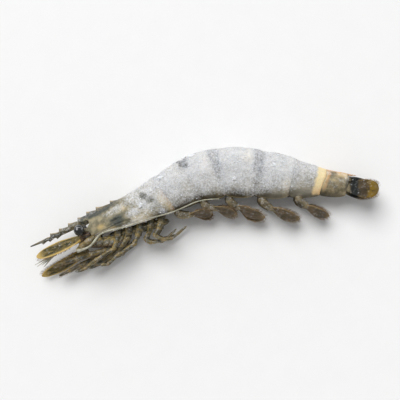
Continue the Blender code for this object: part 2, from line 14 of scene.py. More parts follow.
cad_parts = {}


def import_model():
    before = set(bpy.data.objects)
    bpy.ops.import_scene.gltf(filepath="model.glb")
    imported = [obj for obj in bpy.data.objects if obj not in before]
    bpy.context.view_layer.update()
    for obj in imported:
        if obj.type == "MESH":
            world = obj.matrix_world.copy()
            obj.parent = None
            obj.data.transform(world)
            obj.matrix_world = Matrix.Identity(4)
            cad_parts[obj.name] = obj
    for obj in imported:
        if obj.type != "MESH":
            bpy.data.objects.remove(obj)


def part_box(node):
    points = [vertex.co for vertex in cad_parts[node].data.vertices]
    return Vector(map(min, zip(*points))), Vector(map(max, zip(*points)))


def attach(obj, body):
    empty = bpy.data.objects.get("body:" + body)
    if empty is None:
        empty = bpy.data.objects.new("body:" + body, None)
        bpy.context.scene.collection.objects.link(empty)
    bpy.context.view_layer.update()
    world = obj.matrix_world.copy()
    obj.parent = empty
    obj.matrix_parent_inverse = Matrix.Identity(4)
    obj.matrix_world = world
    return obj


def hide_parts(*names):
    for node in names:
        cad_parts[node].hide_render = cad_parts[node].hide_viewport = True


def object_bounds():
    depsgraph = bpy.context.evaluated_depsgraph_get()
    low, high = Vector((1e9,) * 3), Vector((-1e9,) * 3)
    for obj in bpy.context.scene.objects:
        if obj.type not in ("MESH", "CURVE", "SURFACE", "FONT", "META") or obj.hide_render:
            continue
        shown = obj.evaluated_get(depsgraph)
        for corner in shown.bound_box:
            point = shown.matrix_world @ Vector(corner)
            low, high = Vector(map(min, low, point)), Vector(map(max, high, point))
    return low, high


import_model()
CAD_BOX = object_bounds()

METRES = 0.001

# Body of the CAD model, repeated by name.
HEAD_PITCH = math.radians(15.1)
BEND_ANGLE = math.radians(34)
BEND_START, BEND_END = 68, 98
TOTAL_LENGTH = 150.5
PROFILE = (
    (24, 6.6, 1.4, 3.4), (28, 7.2, 2.1, 5), (34, 7.4, 3.7, 6.6), (42, 7.6, 5.7, 7.9),
    (50, 8.2, 7.6, 8.7), (60, 9.2, 9.3, 9.1), (70, 10.4, 10.2, 9.4), (80, 11, 11.2, 9.6),
    (92, 10.9, 11.6, 9.6), (104, 9.9, 10.7, 8.9), (115, 7.8, 9, 7.4), (127, 5.3, 6.4, 5.4),
    (138, 4.3, 4.7, 4),
)
LIE_HEIGHT = 8.6
CARAPACE_FRONT, CARAPACE_REAR, CARAPACE_SWEEP = 24, 58.3, 2.6
SEGMENT_REARS = (70.8, 83, 98.8, 114.6, 128.2, 137.8)
REAR_SWEEPS = (1.8, 2.2, 0.4, -1.2, -1.9, -0.6)
FRONT_SWEEP_SHARE, REAR_RIM, FRONT_INSET, SEGMENT_CROWN, NODE_GAP = 0.92, 0.32, 0.3, 0.25, 0.45
CREST_START, CREST_HEIGHT, CREST_SPAN, TAIL_SPINE = 99, 0.9, math.radians(14), 3.4
ROSTRUM_REAR, ROSTRUM_TIP_HEIGHT, ROSTRUM_BASE_HEIGHT, ROSTRUM_DIP = 47, 6.9, 7.7, 0.35
ROSTRUM_TIP_DEPTH, ROSTRUM_DEPTH_GAIN, ROSTRUM_THICKNESS = 0.55, 3.3, 1.7
DORSAL_TEETH = (38, 31.5, 27, 22.6, 18, 13.6, 9.4)
VENTRAL_TEETH = (11.2, 7.8, 4.8)
TOOTH_HEIGHT, TOOTH_FACE = 0.95, 0.55
LEG_HIPS, FORWARD_LEGS, LEG_RADIUS, LEG_HIP_OUT = (35, 39.6, 44.2, 48.8, 53.4), 3, 1.05, 3
LEG_LAYERS, LEG_CLEARANCE = (2.1, 4.9), 1.25
FORWARD_ROUTE = (
    (0, 0, 0, 1), (0.2, -2.3, -2.6, 0.95), (0.34, -4.6, -4.3, 0.85),
    (0.62, -13, -6.4, 0.7), (0.8, -18, -6.6, 0.6), (1, -22.5, -5.8, 0.3),
)
FOLDED_ROUTE = (
    (0, 0, 0, 1), (0.24, -2.4, -2.4, 0.95), (0.42, -4.3, -4.5, 0.8),
    (0.52, -3.2, -6.3, 0.7), (0.7, 1.5, -7.4, 0.55), (1, 8.5, -7, 0.3),
)
SWIMMERET_LENGTHS, SWIMMERET_OUT = (13.8, 15.8, 16.4, 15.2, 12.2), 3.2
SWIMMERET_CLEARANCE, SWIMMERET_SLOPE = 1.9, math.radians(17.5)

# Looks of the shell.  Dark bands lie across the margins ahead of each segment and of the tail fan: the
# reach in mm ahead of and behind the margin, the strength, and the degrees off the back where each ends.
BANDS = ((0, 3, 0.3, 95), (0.9, 2.3, 1.5, 58), (2.6, 1.35, 1, 96), (1.4, 2.9, 1, 112),
         (0, 3.6, 0.12, 112), (0, 2, 0.3, 100), (0.9, 0, 0.9, 110))
AROUND = 200                 # points round a body section
RING_STEP = 0.42             # mm between rings
ICE_GRAINS = {"abdomen": (12500, 1500), "head": (3200, 300)}   # fine and coarse ones

FLOOR_GAP = 0.00002          # m that the floor lies below the prawn
LIFT_OFF_FLOOR = 0.00005     # m above it that bristles keep
GRAINS_FROM = 0.0006         # m above it from which loose grains lie
FOCAL_LENGTH = 85            # mm
CAMERA_ROLL = math.radians(11.75)
OBJECT_SHARE = 0.86          # of the picture's width
SIDES = (("left", 1), ("right", -1))

FROST = (0.785, 0.8, 0.835)
FROST_SHADE = (0.595, 0.61, 0.645)
FROST_BRIGHT = (0.9, 0.91, 0.93)


# ---------------------------------------------------------------- numbers

def ease(low, high, value):
    """0 below low, 1 above high, and a smooth step between."""
    t = np.clip((np.asarray(value, float) - low) / (high - low), 0, 1)
    return t * t * (3 - 2 * t)


def fade(low, high, value):
    """1 below low, 0 above high, and a smooth step between."""
    return 1 - ease(low, high, value)


def hump(centre, spread, value):
    """1 at the centre, falling off smoothly over the spread."""
    return np.exp(-((np.asarray(value, float) - centre) / spread) ** 2)


def spot(x, centre_x, spread_x, y, centre_y, spread_y):
    """1 at a centre, falling off smoothly over a spread in each of two directions."""
    return np.exp(-((x - centre_x) / spread_x) ** 2 - ((y - centre_y) / spread_y) ** 2)


def whole_turn(count):
    """Angles all round, the last one short of the first."""
    return np.linspace(0, 2 * np.pi, count, endpoint=False)


def smooth_rows(rows, at):
    """Rows of values read from a smooth curve through the given rows."""
    rows = np.asarray(rows, float)
    last = len(rows) - 1
    at = np.clip(np.asarray(at, float), rows[0, 0], rows[last, 0])
    k = np.clip(np.searchsorted(rows[:, 0], at, side="right") - 1, 0, last - 1)
    before, start = rows[np.maximum(k - 1, 0)], rows[k]
    end, after = rows[k + 1], rows[np.minimum(k + 2, last)]
    span = end[..., :1] - start[..., :1]
    t = (at[..., None] - start[..., :1]) / span
    slope_in = (end - before) / (end[..., :1] - before[..., :1])
    slope_out = (after - start) / (after[..., :1] - start[..., :1])
    values = ((2 * t ** 3 - 3 * t ** 2 + 1) * start + (t ** 3 - 2 * t ** 2 + t) * span * slope_in
              + (3 * t ** 2 - 2 * t ** 3) * end + (t ** 3 - t ** 2) * span * slope_out)
    return values[..., 1:]


def lattice(places, seed):
    """Smooth random values between 0 and 1 at places given in cells."""
    cell = np.floor(places).astype(np.int64)
    part = places - cell
    part = part * part * (3 - 2 * part)
    total = np.zeros(places.shape[:-1])
    for corner in range(8):
        step = np.array((corner & 1, corner >> 1 & 1, corner >> 2 & 1))
        x, y, z = np.moveaxis(cell + step, -1, 0)
        mixed = x * 73856093 ^ y * 19349663 ^ z * 83492791 ^ seed * 2654435
        mixed = ((mixed ^ mixed >> 13) * 1274126177) & 0xFFFFFFFF
        mixed = ((mixed ^ mixed >> 15) * 2246822519) & 0xFFFFFFFF
        weight = np.prod(np.where(step == 1, part, 1 - part), axis=-1)
        total += weight * ((mixed >> 8) & 0xFFFF) / 65535
    return total


def cloud(points, size, octaves, seed):
    """Cloudy noise from -1 to 1 at points in metres, with features of a size in mm."""
    places = np.asarray(points) / (size * METRES)
    total, weight, whole = 0, 1, 0
    for octave in range(octaves):
        total = total + weight * (lattice(places * 2.03 ** octave + 17.3 * octave, seed + octave) * 2 - 1)
        whole += weight
        weight *= 0.55
    return total / whole * 1.5


# ---------------------------------------------------------------- body coordinates

def centre_line(along):
    """Points of the centre line in mm, and its heading."""
    along = np.asarray(along, float)
    radius = (BEND_END - BEND_START) / BEND_ANGLE
    turn = BEND_ANGLE * np.clip((along - BEND_START) / (BEND_END - BEND_START), 0, 1)
    heading = HEAD_PITCH - turn
    straight = np.minimum(along, BEND_START)
    rest = np.maximum(along - BEND_END, 0)
    x = straight * math.cos(HEAD_PITCH) + radius * (math.sin(HEAD_PITCH) - np.sin(heading))
    y = straight * math.sin(HEAD_PITCH) + radius * (np.cos(heading) - math.cos(HEAD_PITCH))
    return x + rest * np.cos(heading), y + rest * np.sin(heading), heading


def place(along, back, left):
    """Points in metres before the frame's shift."""
    x, y, heading = centre_line(along)
    height = np.maximum(LIE_HEIGHT + np.asarray(left, float), 0)
    columns = np.broadcast_arrays(x - np.sin(heading) * back, y + np.cos(heading) * back, height)
    return np.stack(columns, -1) * METRES


def section(along, around, swell=0):
    """Back and left coordinates of the body's surface at an angle round from the back."""
    back, belly, half_width = np.moveaxis(smooth_rows(PROFILE, along), -1, 0)
    up, side = np.cos(around), np.sin(around)
    abdomen = ease(44, 64, along)
    height = np.where(up > 0, (back + swell) * np.abs(up) ** 0.92, -(belly + swell) * np.abs(up) ** 0.8)
    head_width = 1 - 0.34 * ((1 + up) / 2) ** 2
    abdomen_width = 1.04 - 0.34 * ((1 - up) / 2) ** 2
    narrowing = head_width + (abdomen_width - head_width) * abdomen
    width = (half_width + swell) * np.sign(side) * np.abs(side) ** 0.9 * narrowing
    angle = np.arctan2(np.abs(side), up)
    crest = CREST_HEIGHT * ease(CREST_START, CREST_START + 12, along)
    height = height + crest * hump(0, CREST_SPAN, angle)
    hollow = 0.12 * abdomen * hump(math.pi, math.radians(28), angle)
    return height * np.where(up < 0, 1 - hollow, 1), width


def off_back(around):
    """Degrees off the back, the same on both sides."""
    return np.degrees(np.arctan2(np.abs(np.sin(around)), np.cos(around)))


def margin_shape(around):
    """Share of a margin's sweep at an angle around."""
    return ease(30, 125, off_back(around)) - 0.6 * ease(135, 180, off_back(around))


def underside(along, left, swell=0):
    """Height of the body's underside at a distance out from its middle."""
    low, high = math.pi / 2, math.pi
    for _ in range(30):
        middle = (low + high) / 2
        if section(along, middle, swell)[1] > left:
            low = middle
        else:
            high = middle
    return float(section(along, high, swell)[0])


def frame_shift():
    """Where the frame puts the body: from the spine of segment 6 and the back of segment 2."""
    spine = place(SEGMENT_REARS[5] + TAIL_SPINE, section(SEGMENT_REARS[5], 0, REAR_RIM)[0], 0)
    t = np.linspace(0, 1, 6)
    start, rear = SEGMENT_REARS[0] + NODE_GAP, SEGMENT_REARS[1]
    swell = -FRONT_INSET + (FRONT_INSET + REAR_RIM) * t + SEGMENT_CROWN * np.sin(np.pi * t)
    along = start + (rear - start) * t
    ridge = place(along, section(along, 0 * t, swell)[0], 0)
    return np.array((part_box("abdomen_segment_6")[1][0] - spine[0],
                     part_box("abdomen_segment_2")[1][1] - ridge[:, 1].max(), 0))


SHIFT = frame_shift()


def world(along, back, left):
    """Points of the frame, in metres, of places in body coordinates."""
    return place(along, back, left) + SHIFT


# ---------------------------------------------------------------- meshes

def link(name, data):
    """New object in the scene."""
    item = bpy.data.objects.new(name, data)
    bpy.context.scene.collection.objects.link(item)
    return item


class Piece:
    """One mesh in the making: points in metres, faces, and named numbers at the points."""

    def __init__(self, name, *materials):
        self.name, self.materials = name, materials
        self.points, self.faces, self.slots, self.marks, self.count = [], [], [], [], 0

    def add(self, points, *faces, slot=0, **marks):
        """Add points (n, 3), and arrays of faces that index them."""
        for rows in faces:
            self.faces += (rows + self.count).tolist()
            self.slots += [slot] * len(rows)
        self.points.append(points)
        self.marks.append((len(points), marks))
        self.count += len(points)

    def grid(self, points, slot=0, **marks):
        """Add rows of points (rows, columns, 3), each a closed loop."""
        rows, columns = points.shape[:2]
        index = np.arange(rows * columns).reshape(rows, columns)
        ahead = np.roll(index, -1, axis=1)
        quads = np.stack([index[:-1], ahead[:-1], ahead[1:], index[1:]], axis=-1)
        marks = {name: np.broadcast_to(value, (rows, columns)).ravel() for name, value in marks.items()}
        self.add(points.reshape(-1, 3), quads.reshape(-1, 4), slot=slot, **marks)

    def finish(self, *nodes, slot):
        """Make the object, which stands for these CAD nodes."""
        mesh = bpy.data.meshes.new(self.name)
        mesh.from_pydata(np.concatenate(self.points).tolist(), [], self.faces)
        for name in sorted({name for _, marks in self.marks for name in marks}):
            values = [np.broadcast_to(marks.get(name, 0), (count,)) for count, marks in self.marks]
            attribute = mesh.attributes.new(name, "FLOAT", "POINT")
            attribute.data.foreach_set("value", np.concatenate(values).astype(np.float32))
        for material in self.materials:
            mesh.materials.append(material)
        mesh.polygons.foreach_set("material_index", self.slots)
        mesh.shade_smooth()
        item = link(self.name, mesh)
        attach(item, "root")
        if nodes:
            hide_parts(*nodes)
        face_outward(mesh)
        return item


def face_outward(mesh):
    """Turn every closed part of a mesh outward."""
    work = bmesh.new()
    work.from_mesh(mesh)
    bmesh.ops.recalc_face_normals(work, faces=work.faces[:])
    work.to_mesh(mesh)
    work.free()


def mirrored(rows, sign):
    """A path's rows with their fourth number, out to the side, times a sign."""
    return [(*row[:3], row[3] * sign, *row[4:]) for row in rows]


def unit(vectors):
    """Vectors of length 1."""
    return vectors / np.maximum(np.linalg.norm(vectors, axis=-1, keepdims=True), 1e-12)


def tube(piece, line, radius, sides=12, flat=1, reference=(0, 0, 1), slot=0, **marks):
    """Closed tube along a line of points; flat squeezes it across the reference direction."""
    tangent = unit(np.gradient(line, axis=0))
    side = unit(np.cross(tangent, np.asarray(reference, float)))
    other = np.cross(side, tangent)
    turn = whole_turn(sides)
    radius = np.asarray(radius)[:, None, None] * METRES
    rings = line[:, None] + radius * (np.cos(turn)[None, :, None] * side[:, None]
                                      + flat * np.sin(turn)[None, :, None] * other[:, None])
    first, last = (np.repeat(line[[end], None], sides, 1) for end in (0, -1))
    rings = np.concatenate([first, rings, last])
    ringed = {name: np.concatenate([value[:1], value, value[-1:]])[:, None] if np.ndim(value) else value
              for name, value in marks.items()}
    ringed.setdefault("across", np.cos(turn)[None])
    piece.grid(rings, slot=slot, **ringed)


def limb(piece, path, steps=48, sides=12, joints=(), knob=0.22, flat=1, reference=(0, 0, 1), slot=0,
         wobble=0, straight=0, seed=3, **marks):
    """Jointed limb through rows of share, along, back, left and radius; straight takes its curves out."""
    share = np.linspace(path[0][0], path[-1][0], steps + 1)
    rows = smooth_rows(path, share)
    if straight:
        corners = np.array(path, float)
        chords = np.stack([np.interp(share, corners[:, 0], corners[:, k]) for k in (1, 2, 3, 4)], -1)
        rows = rows + (chords - rows) * straight
    line = world(rows[:, 0], rows[:, 1], rows[:, 2])
    radius = rows[:, 3].copy()
    ring = np.zeros(steps + 1)
    for joint in joints:
        radius *= 1 + knob * hump(joint - 0.015, 0.02, share) - knob * hump(joint + 0.012, 0.012, share)
        ring = np.maximum(ring, hump(joint, 0.022, share))
    end = (share[-1] - share) / (share[-1] - share[0])
    radius *= np.sqrt(np.clip(end / 0.03 + 0.15, 0, 1))
    if wobble:
        line = line + cloud(line, 5, 2, seed)[:, None] * np.array((0.3, 1, 0.6)) * wobble * METRES
    tube(piece, line, radius, sides, flat, reference, slot, ring=ring, reach=1 - end, **marks)
    return line, radius


def hairs(piece, roots, directions, length, thickness, bend, slot, seed):
    """Fine tapering bristles, each with three sides and one bend."""
    random = np.random.default_rng(seed)
    count = len(roots)
    length = length * random.uniform(0.65, 1.1, count)[:, None] * METRES
    directions = unit(directions + random.normal(0, 0.16, (count, 3)))
    side = unit(np.cross(directions, random.normal(0, 1, (count, 3))))
    other = np.cross(directions, side)
    droop = np.array((0, 0, -1)) * bend * length
    middle, tip = roots + directions * length * 0.55 + droop * 0.3, roots + directions * length + droop
    rows = []
    for centre, share in ((roots, 1), (middle, 0.7)):
        for angle in whole_turn(3):
            outward = side * math.cos(angle) + other * math.sin(angle)
            rows.append(centre + outward * thickness * share * METRES)
    points = np.stack(rows + [tip], axis=1).reshape(-1, 3)
    points[:, 2] = np.maximum(points[:, 2], LIFT_OFF_FLOOR)
    base = np.arange(count)[:, None, None] * 7
    quads = (base + np.array(((0, 1, 4, 3), (1, 2, 5, 4), (2, 0, 3, 5)))).reshape(-1, 4)
    tips = (base + np.array(((3, 4, 6), (4, 5, 6), (5, 3, 6)))).reshape(-1, 3)
    piece.add(points, quads, tips, slot=slot, reach=np.tile((0, 0, 0, 0.6, 0.6, 0.6, 1), count))


def coat(piece, line, radius, picked, outward, lean, length, thickness, bend, seed):
    """Bristles on a limb: some in each picked ring, pointing outward and leaning along."""
    pick = np.repeat(picked, len(outward))
    out = np.tile(outward, (len(picked), 1))
    roots = line[pick] + unit(out) * radius[pick][:, None] * 0.8 * METRES
    hairs(piece, roots, out + (lean, 0, 0), length, thickness, bend, 1, seed)


def blade(piece, path, sizes, axis, steps, sides, ripple, ribs=(), rib_height=0, slot=0, seed=7):
    """Thin blade as in the CAD model, with ribs along it; returns its middle line and its width axis."""
    axis = np.array(axis) / np.linalg.norm(axis)
    share = sizes[0][0] + (sizes[-1][0] - sizes[0][0]) * (1 - np.cos(np.linspace(0, np.pi, steps))) / 2
    spots, span = smooth_rows(path, share), smooth_rows(sizes, share)
    turn = whole_turn(sides)[None]
    across, face = np.cos(turn), np.sign(np.sin(turn)) * np.abs(np.sin(turn)) ** 0.7
    rib = rib_height * sum(hump(middle, 0.07, across) for middle in ribs)
    wide = span[:, :1] * across
    places = np.stack(np.broadcast_arrays(spots[:, :1], wide, 0), -1) * METRES
    thick = span[:, 1:] * face * 0.75 + np.sign(face) * rib + cloud(places, 3, 2, seed) * ripple
    back = spots[:, 1:2] + axis[0] * wide - axis[1] * thick
    left = spots[:, 2:] + axis[1] * wide + axis[0] * thick
    rows = world(spots[:, :1], back, left)
    ends = [np.repeat(row.mean(axis=0, keepdims=True), sides, axis=0)[None] for row in (rows[0], rows[-1])]
    piece.grid(np.concatenate([ends[0], rows, ends[1]]), slot=slot, across=across, ring=0,
               reach=np.pad(share, 1, mode="edge")[:, None])
    return share, spots, span, axis


def fringe(piece, made, side, length, per_mm, first, thickness=0.035, seed=11, slot=1):
    """Row of bristles along one edge of a blade, from a share of its length to the tip."""
    share, spots, span, axis = made
    random = np.random.default_rng(seed)
    run = spots[-1, 0] - spots[0, 0]
    at = random.uniform(first, 1, int(abs(run) * per_mm))
    here, size = (smooth_rows(np.column_stack([share, rows]), at) for rows in (spots, span))
    edge = 0.97 * side * size[:, 0]
    roots, tips = (world(here[:, 0] + forward, here[:, 1] + axis[0] * reach, here[:, 2] + axis[1] * reach)
                   for forward, reach in ((0, edge), (np.sign(run) * 0.9, edge + side)))
    hairs(piece, roots, unit(tips - roots), length, thickness, 0.05, slot, seed)


# ---------------------------------------------------------------- materials

class Material:
    """Short calls that build a material, or the world, from nodes."""

    def __init__(self, owner):
        self.owner = owner
        owner.use_nodes = True
        self.tree = owner.node_tree
        self.places = self.tree.nodes.new("ShaderNodeTexCoord").outputs

    def put(self, node, values):
        """Link or set a node's inputs."""
        for name, value in values.items():
            socket = node.inputs[name]
            if isinstance(value, bpy.types.NodeSocket):
                self.tree.links.new(value, socket)
            elif socket.type == "RGBA":
                socket.default_value = (*value, 1)
            else:
                socket.default_value = value

    def node(self, kind, output, values, **settings):
        """Output of a new node with these inputs and settings."""
        node = self.tree.nodes.new("ShaderNode" + kind)
        for name, value in settings.items():
            setattr(node, name, value)
        self.put(node, values)
        return node.outputs[output]

    def mark(self, name):
        """A number kept at the mesh's points."""
        return self.node("Attribute", "Fac", {}, attribute_name=name)

    def math(self, operation, first, second=0, clamp=True):
        """Result of a math node, kept between 0 and 1 unless clamp is off."""
        return self.node("Math", 0, {0: first, 1: second}, operation=operation, use_clamp=clamp)

    def times(self, first, second):
        """Product of two numbers."""
        return self.math("MULTIPLY", first, second)

    def mix(self, share, first, second):
        """Colour between two colours."""
        return self.node("Mix", 2, {0: share, 6: first, 7: second}, data_type="RGBA")

    def step(self, value, low, high, start=0, end=1, kind="SMOOTHSTEP"):
        """Step of a value between two limits."""
        values = dict(enumerate((value, low, high, start, end)))
        return self.node("MapRange", 0, values, interpolation_type=kind)

    def noise(self, size, detail=3, rough=0.6, stretch=None):
        """Noise with features of a size in mm; stretch scales the axes first."""
        vector = self.places["Object"]
        if stretch:
            vector = self.node("Mapping", 0, {"Vector": vector, "Scale": stretch})
        values = {"Vector": vector, "Scale": 1 / (size * METRES), "Detail": detail, "Roughness": rough}
        return self.node("TexNoise", 0, values)

    def bump(self, height, distance, strength=1, **under):
        """Normal from a height between 0 and 1 of a distance in mm, over the Normal given."""
        values = {"Height": height, "Distance": distance * METRES, "Strength": strength, **under}
        return self.node("Bump", 0, values)

    def rime(self, fine, low, high, dust):
        """Specks of frost in patches."""
        patches = self.step(self.noise(1.5, 4, 0.7), 0.5, 0.66)
        return self.times(patches, self.step(fine, low, high, 0, dust))

    def done(self, colour, roughness, normal, coat=0, translucent=0, specular=0.5):
        """Set the shader and return the material."""
        values = {"Base Color": colour, "Roughness": roughness, "Coat Weight": coat, "Coat Roughness": 0.22,
                  "Specular IOR Level": specular, "Subsurface Weight": translucent,
                  "Subsurface Radius": (1, 0.75, 0.5), "Subsurface Scale": 0.8 * METRES}
        if normal is not None:
            values["Normal"] = normal
        self.put(self.tree.nodes["Principled BSDF"], values)
        return self.owner


def new_material(name):
    """Node calls for a new material."""
    return Material(bpy.data.materials.new(name))


def shell_material(name, tone_a, tone_b, under, wet):
    """Shell with bands, cream and peach margins and blotches, under its frost; towards the belly it darkens,
    partly its own colour and partly painted shade.
    """
    m = new_material(name)
    mottle, grain, fine = m.noise(3.2, 4), m.noise(0.75, 4, 0.65), m.noise(0.28, 2)
    streak = m.noise(1.3, 3, 0.6, (1, 0.35, 0.35))
    base = m.mix(m.step(mottle, 0.35, 0.65), tone_a, tone_b)
    base = m.mix(m.times(m.step(streak, 0.55, 0.75), 0.35), base, (0.1, 0.085, 0.055))
    # Towards the belly the shell turns dark: partly its own colour, partly painted shade under the body.
    base = m.mix(m.mark("under"), base, m.mix(mottle, under, (0.03, 0.022, 0.008)))
    ragged = m.step(grain, 0.25, 0.6, 0.72, 1)
    for mark, colour in (("blotch", (0.05, 0.058, 0.05)), ("band", (0.022, 0.03, 0.036)),
                         ("cream", (0.8, 0.66, 0.38))):
        base = m.mix(m.times(m.mark(mark), ragged), base, colour)
    base = m.mix(m.mark("peach"), base, (0.66, 0.37, 0.16))
    base = m.mix(m.mark("yellow"), base, (0.62, 0.42, 0.13))
    frost = m.mark("frost")
    cover = m.math("SUBTRACT", m.math("ADD", frost, m.step(grain, 0.3, 0.7, 0, 0.5)), 0.25)
    cover = m.times(m.times(cover, m.step(frost, 0.02, 0.18)), m.step(fine, 0.3, 0.62, 0.8, 1))
    white = m.mix(m.step(grain, 0.3, 0.7), FROST_SHADE, FROST)
    white = m.mix(m.step(frost, 0.82, 1.1, 0, 0.62), white, FROST_BRIGHT)
    relief = m.bump(fine, 0.2, 0.7, Normal=m.bump(grain, 0.35, 0.6))
    return m.done(m.mix(cover, base, white), m.step(cover, 0, 0.6, wet, 0.8), relief, 0.06, 0.1, 0.32)


def frost_material():
    """Loose grains and lumps of ice."""
    m = new_material("ice_frost")
    grain = m.noise(0.5, 2)
    return m.done(m.mix(grain, (0.74, 0.745, 0.75), (0.91, 0.915, 0.92)), m.step(grain, 0.3, 0.7, 0.5, 0.8),
                  m.bump(m.noise(0.16, 2), 0.06, 0.6), translucent=0.25, specular=0.3)


def limb_material(name, dark, light, ring, amber_and_highlight, wet, rings, dust=0.35):
    """Damp jointed skin: dark, with a paler amber stripe and streaks that are partly its own colour and
    partly painted highlight, joints and a dusting of frost.
    """
    m = new_material(name)
    broad, fine, streak = m.noise(2.6, 3), m.noise(0.4, 3, 0.65), m.noise(0.9, 2, 0.5, (0.35, 1, 1))
    stripe = m.times(m.step(m.mark("across"), 0.15, 0.95), m.step(broad, 0.4, 0.62))
    colour = m.mix(m.step(broad, 0.36, 0.66), dark, light)
    for share, tone in ((m.times(stripe, 0.75), amber_and_highlight), (m.times(m.step(streak, 0.54, 0.68), 0.45), amber_and_highlight),
                        (m.times(m.mark("ring"), rings), ring)):
        colour = m.mix(share, colour, tone)
    dusting = m.times(m.step(m.noise(1.6, 4, 0.7), 0.5, 0.64), m.step(fine, 0.42, 0.6, 0, dust))
    dusting = m.math("MAXIMUM", dusting, m.times(m.mark("frost"), m.step(fine, 0.4, 0.6)))
    roughness = m.step(fine, 0.3, 0.7, wet, wet + 0.25)
    return m.done(m.mix(dusting, colour, FROST), roughness, m.bump(fine, 0.14, 0.6), 0.12, 0.15, 0.4)


def blade_material(name, body, middle, rim, rim_from, ribs, shine=0.2):
    """Thin horny blade, brighter at its rim and tip, with the tail fan's dark and golden zones."""
    m = new_material(name)
    fine, broad = m.noise(0.5, 3, 0.6, (0.3, 1, 1)), m.noise(1.6, 2, 0.5, (0.16, 1, 1))
    edge = m.math("ABSOLUTE", m.mark("across"), clamp=False)
    colour = m.mix(m.step(broad, 0.35, 0.65), body, middle)
    for share, tone in ((m.times(m.step(fine, 0.45, 0.62), 0.45), ribs),
                        (m.times(m.step(edge, rim_from, 0.99), 0.9), rim),
                        (m.times(m.step(m.mark("reach"), 0.8, 0.99), 0.8), rim),
                        (m.mark("foot"), (0.17, 0.14, 0.085)), (m.mark("band"), (0.01, 0.012, 0.011)),
                        (m.mark("gold"), (0.21, 0.128, 0.013)),
                        (m.rime(m.noise(0.45, 3, 0.65), 0.46, 0.64, 0.45), FROST)):
        colour = m.mix(share, colour, tone)
    return m.done(colour, m.step(fine, 0.3, 0.7, 0.45, 0.65), m.bump(fine, 0.12, 0.7), 0, 0.05, shine)


def eye_material():
    """Black cornea with fine facets."""
    m = new_material("eye_black")
    stalk = m.mix(m.noise(0.6, 2), (0.1, 0.075, 0.04), (0.24, 0.19, 0.11))
    colour = m.mix(m.step(m.mark("reach"), 0.36, 0.42), stalk, (0.01, 0.009, 0.009))
    rime = m.rime(m.noise(0.25, 2), 0.45, 0.6, 0.5)
    facets = m.node("TexVoronoi", "Distance", {"Vector": m.places["Object"], "Scale": 1 / (0.16 * METRES)})
    roughness = m.step(rime, 0, 0.4, 0.2, 0.7)
    return m.done(m.mix(rime, colour, FROST), roughness, m.bump(facets, 0.03, 0.4), 0.35)


def bristle_material():
    """Two browns in clouds."""
    m = new_material("bristle_look")
    fine = m.noise(1.5, 3)
    return m.done(m.mix(m.step(fine, 0.35, 0.65), (0.12, 0.075, 0.035), (0.3, 0.19, 0.09)), 0.45,
                  m.bump(fine, 0.05, 0.4), 0.2, 0.1)


# ---------------------------------------------------------------- shell

def frost_cover(along, off, points, strength):
    """How much of the shell the frost covers, from 0 to 1; it ends higher on the tail, and its thinning down
    the flank is partly real frost and partly painted shade.
    """
    level = off + cloud(points, 7, 3, 21) * 10 + cloud(points, 2.2, 2, 26) * 5
    level = level + 13 * ease(102, 108, along) + 9 * ease(111, 118, along)
    # Frost thins off the back: partly real frost, partly painted shade down the flank.
    cover = 0.98 - 0.22 * ease(66, 104, level) - 0.38 * ease(96, 124, level) - 0.38 * ease(115, 140, level)
    cover = cover * (0.87 + 0.23 * cloud(points, 2.3, 3, 22)) * strength
    return np.clip(cover, 0, 1.15)


def frost_height(cover, points):
    """Thickness of the frost in mm."""
    lumps = 0.5 + 0.5 * cloud(points, 1.1, 3, 23)
    return cover * (0.06 + 0.26 * np.clip(lumps, 0, 1.2) + 0.08 * cloud(points, 0.55, 2, 24))


PLATE_STEP = 1.25            # mm that the belly lies behind the side plates
TUCKED_RINGS = (-0.13, -0.06, -0.035, -0.018)        # shares of a segment, ahead of its front
# Strength of the frost, and of the pale line above each side plate's edge, on segments 1 to 6.
SEGMENT_FROST = (0.87, 1.05, 1.12, 1.08, 0.9, 0.16)
PLATE_CREAM = (0.08, 0.22, 0.3, 0.22, 0.08, 0.1)
# Share, place along and radius of the ridge that ends in the tail spine.
TAIL_RIDGE = ((0, 127, 0.3), (0.3, 131.5, 0.48), (0.75, 137.8, 0.62), (0.9, 139.4, 0.42))


def surface(at, around, swell):
    """Points of the body's surface, and their height above its centre line."""
    height, width = section(at, around, swell)
    return world(at, height, width), height


def turned_in(at, around, swells, steps):
    """Rings of a rim that turns in: its swell and its step along at each."""
    return [world(at + step, *section(at, around, swell)) for swell, step in zip(swells, steps)]


def padded(marks, before, after):
    """Marks of a shell, repeated over the rings of its turned-in rims."""
    return {name: np.pad(rows, [(before, after), (0, 0)], mode="edge") for name, rows in marks.items()}


def dark_bands(number, off, behind, ahead, ragged):
    """Strength of the dark bands behind a segment's front margin and ahead of its rear one."""
    band = 0
    for distance, margin, side in ((behind, number - 1, 1), (ahead, number, 0)):
        wide, (strong, ends) = BANDS[margin][side], BANDS[margin][2:]
        if wide:
            line = fade(wide * 0.6, wide * 1.25, distance + ragged * 0.9)
            line = line * strong * fade(ends - 16, ends + 12, off + ragged * 14)
            band = np.maximum(band, line * (1 - 0.4 * ease(70, 100, off)))
    return band


